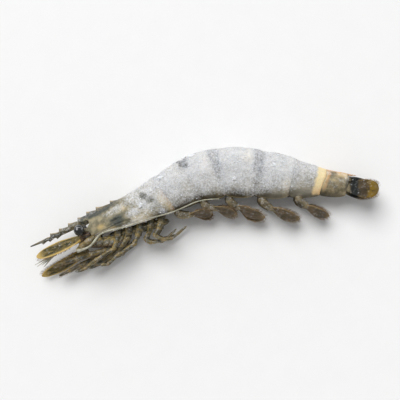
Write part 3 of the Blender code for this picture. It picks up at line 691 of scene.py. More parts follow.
def make_segment(number, material):
    """One ring of the abdomen, tucked under the ring ahead and with a lip at its rear."""
    front = CARAPACE_REAR if number == 1 else SEGMENT_REARS[number - 2]
    front_sweep = (CARAPACE_SWEEP if number == 1 else REAR_SWEEPS[number - 2]) * FRONT_SWEEP_SHARE
    start, rear, rear_sweep = front + NODE_GAP, SEGMENT_REARS[number - 1], REAR_SWEEPS[number - 1]
    around = whole_turn(AROUND)[None]
    off = off_back(around)
    t = np.concatenate([TUCKED_RINGS, np.linspace(0, 1, int((rear - start) / RING_STEP))])[:, None]
    inside, u = np.clip(-t * 3 - 0.06, 0, 1), np.clip(t, 0, 1)
    at = start + (rear - start) * t + (front_sweep + (rear_sweep - front_sweep) * u) * margin_shape(around)
    swell = -FRONT_INSET + (FRONT_INSET + REAR_RIM) * u + SEGMENT_CROWN * np.sin(np.pi * u) - inside
    # Side plates end in rounded lobes; behind them the belly lies deeper, with a rib for each segment.
    lobe = 133 + 13 * np.sin(np.pi * u) ** 0.5
    recess = ease(0, 7, off - lobe)
    swell = swell - recess * PLATE_STEP + 0.35 * recess * hump(0.55, 0.16, u)
    swell = swell + 0.22 * hump(0, 2.2, off - lobe + 2)
    base, _ = surface(at, around, swell)
    strength = SEGMENT_FROST[number - 1] * (1 - 0.12 * fade(56, 66, at) * ease(80, 110, off))
    behind = at - (start + front_sweep * margin_shape(around))
    ahead = rear + rear_sweep * margin_shape(around) - at
    ragged = cloud(base, 1.6, 3, 40) * 0.55
    band = dark_bands(number, off, behind, ahead, ragged) * (0.86 + 0.3 * cloud(base, 2.2, 2, 42))
    cover = frost_cover(at, off, base, strength)
    cover = cover * (1 - (0.1 + 0.26 * ease(20, 85, off)) * ease(112.5, 121, at))
    if number == 6:
        cover = cover * np.clip(1.1 + 2.2 * cloud(base, 1.9, 3, 43), 0, 2.6)
    rim = 0       # the cream rim of segment 5
    if number == 5:
        rim_width = 3.5 - 0.8 * ease(70, 118, off)
        rim = fade(rim_width - 0.6, rim_width + 0.8, ahead + ragged) * fade(120, 136, off + ragged * 8)
    cover = cover * (1 - 0.44 * band) * (1 - 0.9 * rim)
    # Frost fills the step behind a margin.
    bridge = 0.62 * np.clip(cover * 1.3, 0, 1) * hump(0, 1.5, behind)
    thick = (frost_height(cover, base) + bridge) * ease(-0.055, -0.012, t)
    dents = cloud(base, 6.5, 2, 30) * 0.1 + cloud(base, 1.8, 2, 31) * 0.035
    height, width = section(at, around, swell + thick + dents * (1 - inside))
    if number in (4, 5, 6):       # low keel beside the crest's groove
        height = height - 0.16 * hump(13, 4, off) * ease(0.05, 0.3, u)
    points = world(at, height, width)
    cream = hump(3.3 if number < 4 else 1.5, 1.2, ahead + ragged * 0.8)
    cream = cream * (0.1 + (0.3 if number == 3 else 0.1) * hump(30, 35, off))
    cream = cream + 0.45 * spot(at, 112, 1.6, height, -1.8, 2.4) * (1 + ragged)
    cream = cream + PLATE_CREAM[number - 1] * hump(0, 1.8, off - lobe + 2.2)
    peach = hump(0.2, 0.5, ahead) * 0.06
    yellow = 0.5 * spot(at, 94.6, 1.6, height, 6.9, 1.6)
    peach = peach + 0.22 * spot(at, 79.6, 1.2, height, 6.9, 2)
    if number == 5:
        cream = rim * 1.05
        peach = fade(0.1, 0.8, ahead + ragged * 0.5) * 0.3 + 0.45 * rim * ease(88, 120, off)
    if number == 6:
        ridge = fade(28, 60, off + ragged * 14) * ease(132.2, 134, at) * fade(136.8, 138, at)
        cream = 0.7 * ridge + 0.22 * spot(at, 131.6, 1.6, off, 66, 20) * (1 + ragged)
        cream = cream + 0.26 * fade(0.3, 2.2, behind) * hump(94, 22, off)
        cream = np.maximum(cream, 0.62 * fade(0.2, 1.1, behind + ragged * 0.5) * fade(92, 116, off))
        peach = 0.22 * ridge + 0.75 * hump(0, 9, off + ragged * 4) * ease(0.12, 0.5, u)
        edge = (0.72 - 0.3 * ease(50, 90, off)) * fade(100, 124, off)
        peach = np.maximum(peach, edge * ease(0.2, 0.7, behind) * fade(1, 2.1, behind + ragged))
    # The lower flank darkens towards the belly: partly its own colour, partly painted shade.
    low = ease(108, 136, off + cloud(points, 4, 2, 41) * 10 + (6 if number == 1 else 0))
    under = low * (1 - 0.12 * recess) * (1 - 0.4 * ease(101, 107, at) * hump(136, 13, off))
    piece = Piece(f"shell_segment_{number}", material)
    # The rear lip turns in and runs back under the shell.
    swells = [inner - PLATE_STEP * recess[-1:] + frosted * thick[-1:] for inner, frosted in
              ((REAR_RIM - 0.08, 0.32), (REAR_RIM - 0.34, 0.56), (-0.35, 0), (-1.2, 0))]
    lip = turned_in(at[-1:], around, swells, (0.18, 0.24, -0.05, -0.9))
    blotch = (0.55 if number == 6 else 0) * ease(0.05, 0.6, cloud(base, 2, 3, 44))
    marks = dict(band=np.clip(band, 0, 1), cream=cream, peach=peach, yellow=yellow, under=under, frost=cover,
                 blotch=blotch)
    piece.grid(np.concatenate([points, *lip]), **padded(marks, 0, len(lip)))
    if number == 6:
        rows = []
        for share, along, radius in (*TAIL_RIDGE, (1, rear + TAIL_SPINE, 0.1)):
            height = float(section(min(along, rear), 0, 0.1)[0]) - radius * 0.55
            rows.append((share, along, height, 0, radius))
        limb(piece, rows, steps=60, sides=12, peach=0.9, frost=0.25)
    return piece.finish(f"abdomen_segment_{number}", slot="tail_shell" if number == 6 else "frosted_shell")


def rostrum_edges(along):
    """Upper and lower edge of the rostrum, with its teeth."""
    reach = np.clip(along / CARAPACE_FRONT, 0, 1)
    top = ROSTRUM_TIP_HEIGHT + (ROSTRUM_BASE_HEIGHT - ROSTRUM_TIP_HEIGHT) * reach
    top = top - ROSTRUM_DIP * np.sin(np.pi * reach)
    bottom = top - ROSTRUM_TIP_DEPTH - ROSTRUM_DEPTH_GAIN * 0.78 * reach ** 0.9
    surface = section(along, 0 * along)[0]
    front_rise = ROSTRUM_BASE_HEIGHT - section(CARAPACE_FRONT, 0)[0]
    rise = front_rise * fade(CARAPACE_FRONT, ROSTRUM_REAR, along)
    top = np.where(along > CARAPACE_FRONT, surface + rise, top)
    bottom = np.where(along > CARAPACE_FRONT, surface - 2.6, bottom)
    for tips, slope, power in ((DORSAL_TEETH, 3.6, 2), (VENTRAL_TEETH, 2.4, 1.3)):
        for tip in tips:
            behind = np.clip(1 - (along - tip) / slope, 0, 1) ** power * (along >= tip)
            tooth = TOOTH_HEIGHT * np.maximum(behind, ease(tip - TOOTH_FACE, tip, along) * (along < tip))
            if tips is DORSAL_TEETH:
                top = top + 1.1 * tooth - 0.15 * hump(tip - 0.9, 0.5, along)
            else:
                bottom = bottom - 0.8 * tooth
    return top, bottom


def add_rostrum(piece):
    """Toothed blade with a rib along each side."""
    along = np.linspace(-0.5, ROSTRUM_REAR, 330)[:, None]
    top, bottom = rostrum_edges(along)
    turn = whole_turn(22)[None]
    level = (1 + np.cos(turn)) / 2
    lens = np.clip(1 - np.abs(level - 0.5) * 2, 0, 1) ** 0.65 * 0.78 + 0.17
    rib = 0.35 * hump(0.48, 0.1, level) * ease(2, 12, along)
    body = ROSTRUM_THICKNESS / 2 * ease(-9, 16, along) * ease(-0.6, 1.2, along)
    left = body * (lens + rib) * np.sign(np.sin(turn) + 1e-9) * np.abs(np.sin(turn)) ** 0.25
    edge = hump(1, 0.13, level) + 0.6 * hump(0, 0.1, level)
    teeth = sum(hump(tip + 0.6, 0.9, along) for tip in DORSAL_TEETH + VENTRAL_TEETH)
    points = world(along, bottom + (top - bottom) * level, left)
    piece.grid(points, slot=1, reach=ease(12, 40, along), across=edge, ring=np.clip(teeth * edge, 0, 1),
               frost=0.6 * ease(37, 46, along))


# How far back the carapace's front edge lies, in mm, by degrees off the back.
FRONT_MARGIN = (
    (0, -0.4), (18, 0), (36, 1.9), (54, 2.2), (68, 0.4), (74, -1.2), (80, 0.5),
    (104, 0.9), (128, 0.7), (150, 1.6), (180, 3),
)
# Patches of frost on the carapace: the place and its spread along, then off the back, and the strength.
HEAD_FROST = ((45.4, 3, 91, 13, 0.8), (47.5, 4, 110, 12, 0.45), (56, 1.8, 118, 14, 0.66),
              (39.5, 5.5, 56, 15, 0.5))
# Dark blotches: place along and height, half length and height, and strength.
HEAD_BLOTCHES = ((37.3, -0.3, 3.8, 2.7, 1), (51.7, 3.9, 2, 1.9, 0.9), (53.5, 1.5, 2.3, 1.7, 0.8),
                 (32.5, 6.9, 9, 1.6, 1), (41, -2.6, 2, 1.3, 0.4))
# Yellow spots: place along and height, and half length.
HEAD_YELLOW = ((30.1, 0.6, 1.5), (28.7, -2.4, 1.3), (34.5, -2.6, 1.2), (42, 3.4, 1))
FLAP_STEP = 1.1              # mm that the belly lies behind the carapace's lower edge
# Grooves of the carapace: points as distance along and degrees off the back, then depth and width.
GROOVES = (
    (((33.5, 98), (37.5, 84), (41.5, 60), (45, 38)), 0.34, 0.75),
    (((31, 112), (36, 104), (42, 108)), 0.26, 0.7),
    (((46, 52), (53, 48), (58, 46)), 0.1, 1.2),
    (((25, 12), (36, 11), (52, 9)), 0.22, 0.7),
)


def groove_depth(along, off):
    """Depth of the carapace's grooves, in mm."""
    depth = 0
    for line, deep, wide in GROOVES:
        nearest = np.full(np.broadcast(along, off).shape, 99)
        for (x0, y0), (x1, y1) in zip(line, line[1:]):
            step = np.array((x1 - x0, (y1 - y0) * 0.15))
            dx, dy = along - x0, (off - y0) * 0.15
            share = np.clip((dx * step[0] + dy * step[1]) / (step @ step), 0, 1)
            nearest = np.minimum(nearest, np.hypot(dx - share * step[0], dy - share * step[1]))
        depth = depth + deep * hump(0, wide, nearest)
    return depth


def make_carapace(shell, blade_look):
    """Head shield with its rostrum, spines and grooves."""
    around = whole_turn(AROUND)[None]
    off = off_back(around)
    t = np.linspace(0, 1, int((CARAPACE_REAR - CARAPACE_FRONT) / RING_STEP))[:, None]
    notch = smooth_rows(FRONT_MARGIN, off)[..., 0]
    at = CARAPACE_FRONT + (CARAPACE_REAR - CARAPACE_FRONT) * t
    at = at + CARAPACE_SWEEP * t * t * margin_shape(around) + notch * (1 - t) ** 4
    swell = REAR_RIM * ease(0.75, 1, t) - 0.25 * hump(0.93, 0.02, t)
    swell = swell - groove_depth(at, off) + 0.16 * hump(0.02, 0.02, t)
    edge = 146 - 10 * t
    recess = ease(0, 7, off - edge)
    swell = swell - FLAP_STEP * recess + 0.2 * hump(0, 2.4, off - edge + 2)
    swell = swell + spot(at, 37.4, 1.3, off, 82, 3.2)      # hepatic spine
    base, _ = surface(at, around, swell)
    patches = ease(-0.45, 0.45, cloud(base, 5.5, 3, 50))
    rear_cover = ease(40, 57, at - 0.05 * (off - 60))
    cover = frost_cover(at, off, base, 1) * np.clip(0.18 + 0.34 * patches + 0.62 * rear_cover, 0, 1)
    # Frost thins towards the front and down the flank: partly real frost, partly painted shade.
    cover = cover * (0.08 + 0.92 * ease(31, 52, at)) * (0.68 + 0.32 * fade(80, 112, off))
    # The cheek below the eye is paler with frost and cream: partly its own colour, partly painted light on
    # its lower rim, which faces away from the light.
    cheek_top = 117 + 8 * hump(38, 3, at) - 14 * ease(41.5, 45, at)
    cheek = ease(23.5, 30, at) * fade(47, 55, at) * ease(-12, 14, off - cheek_top)
    cheek = cheek * fade(162, 176, off)
    tan = ease(41, 46, at)
    # The extra frost towards the cheek's lower rim is painted light.
    rime = 0.5 + 0.16 * ease(32, 36, at) - 0.22 * tan + 0.32 * ease(128, 148, off) * (1 - tan)
    cover = np.maximum(cover, (rime + 0.25 * cloud(base, 2.2, 3, 55)) * cheek)
    for along, long, around_at, wide, strong in HEAD_FROST:
        patch = strong * spot(at, along, long, off, around_at, wide)
        cover = np.maximum(cover, patch * (0.9 + 0.25 * cloud(base, 1.8, 3, 56)))
    cover = cover * (1 - 0.65 * fade(16, 38, off) * fade(38, 43, at))
    thick = frost_height(cover, base)
    dents = cloud(base, 5, 2, 51) * 0.12 + cloud(base, 1.4, 2, 52) * 0.04
    points, height = surface(at, around, swell + thick + dents)
    ahead = CARAPACE_REAR + CARAPACE_SWEEP * margin_shape(around) - at
    ragged = cloud(points, 1.6, 3, 53) * 0.6
    band = 0.25 * hump(4.6, 1.5, ahead + ragged) * fade(70, 110, off)
    low_side = ease(50, 95, off) * (1 - 0.8 * ease(120, 140, off))
    cream = 0.45 * hump(2.2, 1.4, ahead + ragged) * low_side
    peach = 0.3 * hump(0.6, 1, ahead + ragged * 0.5) * low_side
    blotch = yellow = 0
    for along, level, wide, tall, strong in HEAD_BLOTCHES:
        shape = np.hypot((at - along) / wide, (height - level) / tall) + ragged * 0.35
        blotch = np.maximum(blotch, strong * fade(0.55, 1.25, shape))
    for along, level, wide in HEAD_YELLOW:
        yellow = np.maximum(yellow, 0.55 * spot(at, along, wide, height, level, 0.9))
    # The lower flank darkens towards the belly: partly its own colour, partly painted shade; the cheek stays
    # pale.
    under = ease(106, 132, off + cloud(points, 4, 2, 54) * 10) * (1 - 0.3 * recess) * (1 - 0.9 * cheek)
    cream = np.maximum(cream, (0.35 + 0.35 * tan) * cheek)
    cover = cover * (1 - 0.9 * blotch)
    piece = Piece("carapace_shell", shell, blade_look)
    marks = dict(band=band, cream=cream, peach=peach, yellow=yellow, under=under, frost=cover, blotch=blotch)
    front = []       # the front edge turns in
    for inner, step in ((-0.75, 2.2), (-0.45, 0.35), (-0.15, 0.1)):
        ring = at[:1] + step
        front.append(world(ring, *section(ring, around, inner - FLAP_STEP * recess[:1])))
    swells = [inner - FLAP_STEP * recess[-1:] for inner in (REAR_RIM - 0.1, REAR_RIM - 0.4, -0.4, -1.2)]
    lip = turned_in(at[-1:], around, swells, (0.14, 0.08, -0.3, -1))
    piece.grid(np.concatenate([*front, points, *lip]), **padded(marks, len(front), len(lip)))
    add_rostrum(piece)
    return piece.finish("carapace", slot="head_shell")


# ---------------------------------------------------------------- head

def make_eyes(material):
    """Stalked eyes with bulging corneas."""
    path = ((-0.35, 25.5, 1.6, 0.4, 0.9), (0, 22.6, 2.6, 1.5, 0.8), (0.3, 22, 3.1, 2.9, 0.95),
            (0.42, 21.9, 3.3, 3.6, 1.45), (0.5, 21.8, 3.35, 4, 2.05), (0.6, 21.6, 3.4, 4.5, 2.3),
            (0.75, 21.3, 3.5, 5.4, 2.25), (0.88, 21, 3.6, 6.2, 1.75), (0.96, 20.9, 3.6, 6.6, 1.15),
            (1, 20.9, 3.6, 6.9, 0.45))
    for side, sign in SIDES:
        piece = Piece(side + "_eye_ball", material)
        limb(piece, mirrored(path, sign), steps=54, sides=30, reference=(1, 0.3, 0))
        piece.finish(side + "_eye", slot="eye")


# Leaf-like plates of the mouth: tip along and height, length, and half width.
MOUTH_PLATES = ((20.6, -2.7, 7.5, 1.25), (22.2, -4.2, 8, 1.35), (24.4, -5.4, 8.5, 1.3), (27, -6.4, 8, 1.2),
                (29.6, -7, 7, 1.1))


def make_mouthparts(skin, bristle):
    """Jaws and short feet: leaf-like plates laid over one another, with bristles."""
    piece = Piece("mouth_plates", skin, bristle)
    path = ((0, 21, -3.3, 0), (0.3, 25, -4.8, 0), (0.6, 29, -5.9, 0), (1, 36.5, -6.2, 0))
    sizes = ((0, 0.9, 2.2), (0.15, 1.7, 3), (0.4, 2.2, 3.3), (0.7, 2.1, 3.2), (0.9, 1.7, 2.8), (1, 1, 1.9))
    blade(piece, path, sizes, (1, 0), 46, 48, 0.3)
    for sign in (1, -1):
        for k, (tip, level, length, wide) in enumerate(MOUTH_PLATES):
            leaf = ((0, tip + length, level - 0.3, 2.52), (0.5, tip + length * 0.5, level - 0.5, 3.78),
                    (1, tip, level + 0.2, 2.31))
            outline = ((0, 0.5, 0.3), (0.3, wide, 0.36), (0.7, wide * 0.8, 0.3), (0.93, wide * 0.4, 0.22),
                       (1, 0.15, 0.12))
            made = blade(piece, mirrored(leaf, sign), outline, (0.93, -0.36 * sign), 22, 18, 0.1, seed=60 + k)
            fringe(piece, made, -1, 0.9, 9, 0.1, 0.05, 70 + k + sign)
    keel = ((0, 31, -4.8, 0), (0.33, 40, -6.3, 0), (0.66, 48, -8.2, 0), (1, 56.4, -9.8, 0))
    sizes = ((0, 1, 2.6), (0.1, 1.8, 3.4), (0.5, 1.9, 3.9), (0.85, 1.7, 3.7), (0.95, 1.3, 2.9), (1, 0.5, 1.6))
    blade(piece, keel, sizes, (1, 0), 80, 40, 0.45, seed=66)
    piece.finish("mouthparts", slot="limbs")


def make_scales(material, bristle):
    """Antennal scales: a stiff rim that ends in a spine, a ribbed blade, and a fringe below."""
    sizes = ((0, 1.3, 1.2), (0.1, 1.9, 1), (0.2, 2.35, 0.62), (0.45, 2.9, 0.42), (0.7, 2.75, 0.38),
             (0.9, 1.9, 0.34), (0.97, 0.95, 0.26), (1, 0.3, 0.15))
    routes = {
        "left": ((0, 20.2, 0.2, 4.6), (0.5, 10.5, 0.9, 4.6), (1, 0.6, 1.4, 4.4)),
        "right": ((0, 20, -5.2, -4.7), (0.5, 9, -6.4, -4.2), (1, -2.5, -6.6, -4)),
    }
    for side, sign in SIDES:
        piece = Piece(side + "_scale_blade", material, bristle)
        ribs = (-0.55, -0.1, 0.35, 0.8)
        made = blade(piece, routes[side], sizes, (0.8, -0.6 * sign), 70, 48, 0.1, ribs, 0.13)
        fringe(piece, made, -sign, 1.5, 9, 0.25, seed=80)
        share, spots, span, wide = made
        rim = np.column_stack([share, spots])[::3]
        edge = smooth_rows(np.column_stack([share, span]), rim[:, 0])[:, 0] * 0.86 * sign
        path = [(row[0], row[1], row[2] + wide[0] * e, row[3] + wide[1] * e, 0.34 - 0.16 * row[0])
                for row, e in zip(rim, edge)]
        limb(piece, path, steps=70, sides=8, across=1)
        piece.finish(side + "_antennal_scale", slot="scale_blade")


def make_antennules(skin, whip_look, bristle):
    """Three-jointed stalks, each with two short whips."""
    stalk = ((-0.25, 26.5, 0.9, 1.3, 1.1), (0, 21.9, 0.2, 1.5, 1.3), (0.3, 15.5, 0.1, 1.6, 1.15),
             (0.5, 11, -0.2, 1.6, 0.85), (0.56, 9.6, -0.4, 1.6, 0.62))
    for side, sign in SIDES:
        piece = Piece(side + "_antennule_stalk", skin, whip_look, bristle)
        line, _ = limb(piece, mirrored(stalk, sign), 60, 18, (0.08, 0.3, 0.45), 0.16)
        for rise, out, tip, level in ((0.3, 0.15, -2, -1.6), (-0.3, -0.2, 0.5, -3)):
            whip = ((0, 10.6, -0.3 + rise, 1.6 + out, 0.42), (0.4, 6, -1 + rise, 1.5 + out, 0.36),
                    (1, tip, level + 0.5 * sign, 1.4 + out, 0.14))
            add_whip(piece, mirrored(whip, sign), 70, 1)
        roots = line[18:50]
        hairs(piece, roots, np.tile((0, -0.6, 0.7 * sign), (len(roots), 1)), 1.6, 0.04, 0.1, 2, 90)
        piece.finish(side + "_antennule", slot="limbs")


def add_whip(piece, path, rings, slot):
    """Tapering feeler made of many short rings."""
    steps = rings * 3
    share = np.linspace(path[0][0], path[-1][0], steps + 1)
    rows = smooth_rows(path, share)
    line = world(*rows.T[:3])
    radius = rows[:, 3] * (1 + 0.07 * np.cos(np.arange(steps + 1) * 2 * np.pi / 3))
    ring = 0.5 * np.clip(cloud(line, 3, 2, 96) + 0.2, 0, 1)
    tube(piece, line, radius, 9, slot=slot, ring=ring, reach=share)


# How the antennae's bases bend, and their whips' places along and in degrees round from the back.
ANTENNA_BENDS = {
    "left": ((0, 21.9, -2.6, 4, 1.3), (0.05, 18.6, -3.4, 5.8, 1.2), (0.09, 17.4, -4, 7.6, 0.8),
             (0.13, 19.8, -4.4, 8.5, 0.5), (0.17, 23, -4.5, 7.9, 0.46)),
    "right": ((0, 21.9, -0.7, 4.3, 1.3), (0.05, 18.8, -1, 5.6, 1.2), (0.09, 18, -2.2, 6.9, 0.8),
              (0.13, 20, -3.5, 7.1, 0.5), (0.17, 23, -4.3, 7, 0.46)),
}
ANTENNA_WHIP = ((0.25, 29, 121), (0.4, 39, 122), (0.55, 49, 124), (0.7, 60, 128), (0.85, 71, 132),
                (1, 82, 134))


def make_antennae(skin, whip_look):
    """Stout jointed bases, and long whips folded back along the body."""
    for side, sign in SIDES:
        bend = mirrored(ANTENNA_BENDS[side], sign)
        path = list(bend)
        for share, along, around in ANTENNA_WHIP:
            height, width = section(along, math.radians(around + 3 * math.sin(along * 0.31 + sign)), 1.25)
            path.append((share, along, float(height), float(width) * sign, 0.46 - 0.28 * share))
        piece = Piece(side + "_antenna_whip", whip_look, skin)
        add_whip(piece, path[2:], 230, 0)
        base = [(-0.06, 25.6, bend[0][2] + 0.5, bend[0][3] * 0.75, 1.5)] + bend[:3]
        limb(piece, base, steps=40, sides=20, joints=(0, 0.045), knob=0.1, slot=1)
        piece.finish(side + "_antenna", slot="whisker")


def make_maxillipeds(skin, bristle):
    """Third maxillipeds: slim, five-jointed and hairy."""
    for side, sign in SIDES:
        path = ((-0.12, 32, -7.6, 1.9, 1), (0, 29, -9, 1.7, 1), (0.2, 25.2, -9.3 + 0.6 * sign, 1.9, 1.15),
                (0.6, 14.5, -8.2 + 1.6 * sign, 1.5, 1), (1, 4.5, -7.4 + 2.4 * sign, 1.5, 0.4))
        piece = Piece(side + "_maxilliped_limb", skin, bristle)
        line, radius = limb(piece, mirrored(path, sign), 80, 14, (0.12, 0.38, 0.6, 0.8), flat=0.8, wobble=0.2)
        outward = ((0, -1, 0.25), (0, -0.7, 0.9), (0, 1, 0.3), (0, 0.5, 0.9), (0, -0.9, -0.4))
        coat(piece, line, radius, range(14, 80), outward, -0.8, 1.3, 0.045, 0.05, 100)
        piece.finish(side + "_third_maxilliped", slot="limbs")


def make_legs(skin, bristle):
    """Five pairs of walking legs, the first three with small pincers."""
    for number, hip in enumerate(LEG_HIPS, start=1):
        height = underside(hip, LEG_HIP_OUT) - LEG_CLEARANCE
        forward = number <= FORWARD_LEGS
        route = FORWARD_ROUTE if forward else FOLDED_ROUTE
        joints = (0.05, 0.2, 0.34, 0.62, 0.8) if forward else (0.05, 0.24, 0.42, 0.52, 0.7)
        knee_out = LEG_LAYERS[number % 2]
        for side, sign in SIDES:
            random = np.random.default_rng(300 + 2 * number + sign)
            path = [(-0.16, hip + 1.2, height + 2.8, (LEG_HIP_OUT - 0.5) * sign, 1.9)]
            for share, run, drop, thickness in route:
                out = LEG_HIP_OUT + (knee_out - LEG_HIP_OUT) * float(ease(0, 0.4, share))
                base = 1.35 if share == 0 else 1.05
                shift = random.uniform(-0.8, 0.8, 2) * float(ease(0, 0.3, share))
                path.append((share, hip + run + shift[0], height + drop + shift[1], out * sign,
                             LEG_RADIUS * thickness * base))
            piece = Piece(f"{side}_leg_{number}", skin, bristle)
            if forward:       # palm, then two fingers
                _, along, back, out, _ = path[-1]
                wrist = smooth_rows(path, 0.88)
                path[-1:] = [(0.88, *wrist[:3], 0.66), (0.93, wrist[0] - 1.2, wrist[1] + 0.2, wrist[2], 0.4)]
                for split in (0.28, -0.28):
                    middle = (wrist[1] + back) / 2 + split * 1.5
                    finger = ((0, wrist[0] - 0.6, wrist[1] + 0.1 + split, wrist[2], 0.34),
                              (0.5, (wrist[0] + along) / 2, middle, wrist[2], 0.25),
                              (1, along, back + split * 0.4, out, 0.08))
                    limb(piece, finger, 14, 8)
            line, radius = limb(piece, path, 110, 14, joints, 0.2, flat=0.85, wobble=0.22, straight=0.78,
                                seed=200 + 7 * number)
            outward = ((0, -1, 0.4), (0, 0.8, 0.6), (0, -0.5, 0.9))
            coat(piece, line, radius, range(44, 104, 2), outward, -0.5, 0.8, 0.035, 0, 110 + number)
            piece.finish(f"{side}_walking_leg_{number}", slot="limbs")


# ---------------------------------------------------------------- swimmerets and tail

# Half width and half thickness of a swimmeret's outer blade, by share of its length.
SWIMMERET_BLADE = ((0, 0.8, 0.5), (0.14, 1.5, 0.55), (0.32, 2.8, 0.46), (0.52, 3.35, 0.4), (0.76, 2.85, 0.34),
                   (0.93, 1.4, 0.28))


def make_swimmerets(skin, blade_look, bristle):
    """Five pairs: a stout stem with two leaf blades, fringed with bristles."""
    for number, length in enumerate(SWIMMERET_LENGTHS, start=1):
        front = CARAPACE_REAR if number == 1 else SEGMENT_REARS[number - 2]
        base = front + 0.3 * (SEGMENT_REARS[number - 1] - front)
        depth = -underside(base, SWIMMERET_OUT, SEGMENT_CROWN) + SWIMMERET_CLEARANCE
        drop, run = length * math.sin(SWIMMERET_SLOPE), length * math.cos(SWIMMERET_SLOPE)
        for side, sign in SIDES:
            random = np.random.default_rng(500 + 2 * number + sign)
            fall, fan_out = random.uniform(0.82, 1.18), random.uniform(0.55, 0.75)
            piece = Piece(f"{side}_swimmeret_limb_{number}", skin, blade_look, bristle)
            out = SWIMMERET_OUT
            stem = ((-0.3, base - 0.8, -depth + 3.1, out * 0.92, 1.6), (0, base, -depth + 0.7, out, 1.72),
                    (0.2, base + 0.2 * run, -depth - 0.2 * drop, out, 1.42),
                    (0.32, base + 0.33 * run, -depth - 0.37 * drop, out - 0.2, 0.95),
                    (0.46, base + 0.48 * run, -depth - 0.52 * drop * fall, out - 0.4, 0.42))
            limb(piece, mirrored(stem, sign), 40, 18, (-0.05, 0.24), 0.1, flat=0.8, wobble=0.3, seed=number)
            # The outer blade, then the inner one: its size, shift inward, reach, fall and lift of the tip.
            leaves = ((1, 0, 1.12, fall, 0), (0.78, -0.9, 0.96, fall * 0.88, 0.5))
            for shrink, shift, end, level, lift in leaves:
                path = ((0, base + 0.22 * run, -depth - 0.24 * drop, out + shift * 0.4),
                        (0.5, base + (0.22 + end) * 0.5 * run, -depth - 0.75 * drop * level, out + shift),
                        (1, base + end * run, -depth - drop * level + lift, out + shift * 1.2))
                sizes = [(share, wide * shrink, thick) for share, wide, thick in SWIMMERET_BLADE]
                sizes.append((1, 0.35, 0.18))
                made = blade(piece, mirrored(path, sign), sizes, (fan_out, 0.8 * sign), 34, 26, 0.22,
                             (-0.4, 0.1, 0.5), 0.12, slot=1, seed=120 + number)
                for edge in (1, -1):
                    fringe(piece, made, edge, 1.7 * shrink, 7, 0.24, 0.045, 130 + number, slot=2)
            piece.finish(f"{side}_swimmeret_{number}", slot="limbs")


def make_tail_fan(blade_look, bristle):
    """Grooved, pointed telson between two pairs of ribbed blades."""
    start, tip = SEGMENT_REARS[-1] - 0.9, TOTAL_LENGTH
    telson = ((0, start, 2.9, 0), (0.3, 141, 3.2, 0), (0.6, 145, 3.1, 0), (1, tip - 0.5, 2.4, 0))
    telson_sizes = ((0, 2.2, 1.5), (0.3, 2.3, 1.65), (0.6, 1.7, 1.2), (0.9, 0.7, 0.5), (1, 0.15, 0.15))
    outer_sizes = ((0, 1.2, 0.9), (0.2, 2.8, 0.55), (0.5, 3.9, 0.42), (0.75, 3.8, 0.36), (0.9, 2.9, 0.3),
                   (0.97, 1.7, 0.24), (1, 0.5, 0.15))
    inner_sizes = ((0, 1, 0.8), (0.2, 2.1, 0.5), (0.5, 3, 0.38), (0.75, 2.8, 0.34), (0.9, 2, 0.28),
                   (0.97, 1.2, 0.22), (1, 0.4, 0.15))
    work = [("telson", telson, telson_sizes, (0, 1), (-0.32, 0.32), 0.2)]
    outer = ((0, start, -0.4, 3.2), (0.5, 143.8, 0, 4.8), (1, tip, 0.7, 5.1))
    inner = ((0, start, -1.5, 1.3), (0.5, 143.6, -1.4, 2.7), (1, tip - 1.6, -0.6, 3))
    for side, sign in SIDES:
        axis = (0.94, -0.34 * sign)
        ribs = (-0.55, -0.1, 0.3, 0.62)
        work += [(side + "_outer_uropod", mirrored(outer, sign), outer_sizes, axis, ribs, 0.16),
                 (side + "_inner_uropod", mirrored(inner, sign), inner_sizes, axis, (-0.5, 0, 0.45), 0.14)]
    for name, path, sizes, axis, ribs, rib_height in work:
        piece = Piece(name + "_blade", blade_look, bristle)
        made = blade(piece, path, sizes, axis, 60, 48, 0.08, ribs, rib_height)
        along = np.repeat(np.pad(made[1][:, 0], 1, mode="edge"), 48)
        ragged = cloud(np.concatenate(piece.points), 1.2, 3, 140) * 0.6
        gold = ease(145.2, 147.2, along + ragged * 2.5)
        gold = gold * (1 - 0.6 * ease(148.4, 150, along + ragged)) * 0.75
        piece.marks[0][1].update(
            foot=fade(138.2, 139.3, along + ragged), gold=gold * ease(-0.55, 0.2, ragged + 0.2),
            band=ease(138.2, 139.5, along + ragged) * fade(141.6, 143, along + ragged * 2))
        if name != "telson":
            for edge in (1, -1):
                fringe(piece, made, edge, 1.3, 8, 0.45, 0.04, 150)
        piece.finish(name, slot="tail_fan")


# ---------------------------------------------------------------- ice

def rounded_solid():
    """Points and triangles of a small rounded solid."""
    work = bmesh.new()
    bmesh.ops.create_icosphere(work, subdivisions=1, radius=1)
    points = np.array([vertex.co[:] for vertex in work.verts])
    faces = np.array([[vertex.index for vertex in face.verts] for face in work.faces])
    work.free()
    return points, faces


OCTAHEDRON = (np.array(((1, 0, 0), (-1, 0, 0), (0, 1, 0), (0, -1, 0), (0, 0, 1), (0, 0, -1)), float),
              np.array(((0, 2, 4), (2, 1, 4), (1, 3, 4), (3, 0, 4),
                        (2, 0, 5), (1, 2, 5), (3, 1, 5), (0, 3, 5))))


def scatter(piece, template, centres, normals, sizes, random, ragged):
    """Jagged copies of a small solid, bedded in the surface at the centres."""
    corners, faces = template
    count = len(centres)
    tangent = unit(np.cross(normals, random.normal(0, 1, (count, 3))))
    other = np.cross(normals, tangent)
    stretch = random.uniform(0.65, 1.35, (count, 3)) * sizes[:, None]
    shape = corners[None] * (1 + random.normal(0, ragged, (count, len(corners), 3)))
    shape = shape * stretch[:, None]
    points = (centres[:, None] + shape[..., :1] * tangent[:, None] + shape[..., 1:2] * other[:, None]
              + shape[..., 2:] * normals[:, None] * 0.8)
    points[..., 2] = np.maximum(points[..., 2], 0)
    index = np.arange(count)[:, None, None] * len(corners) + faces[None]
    piece.add(points.reshape(-1, 3), index.reshape(-1, 3))


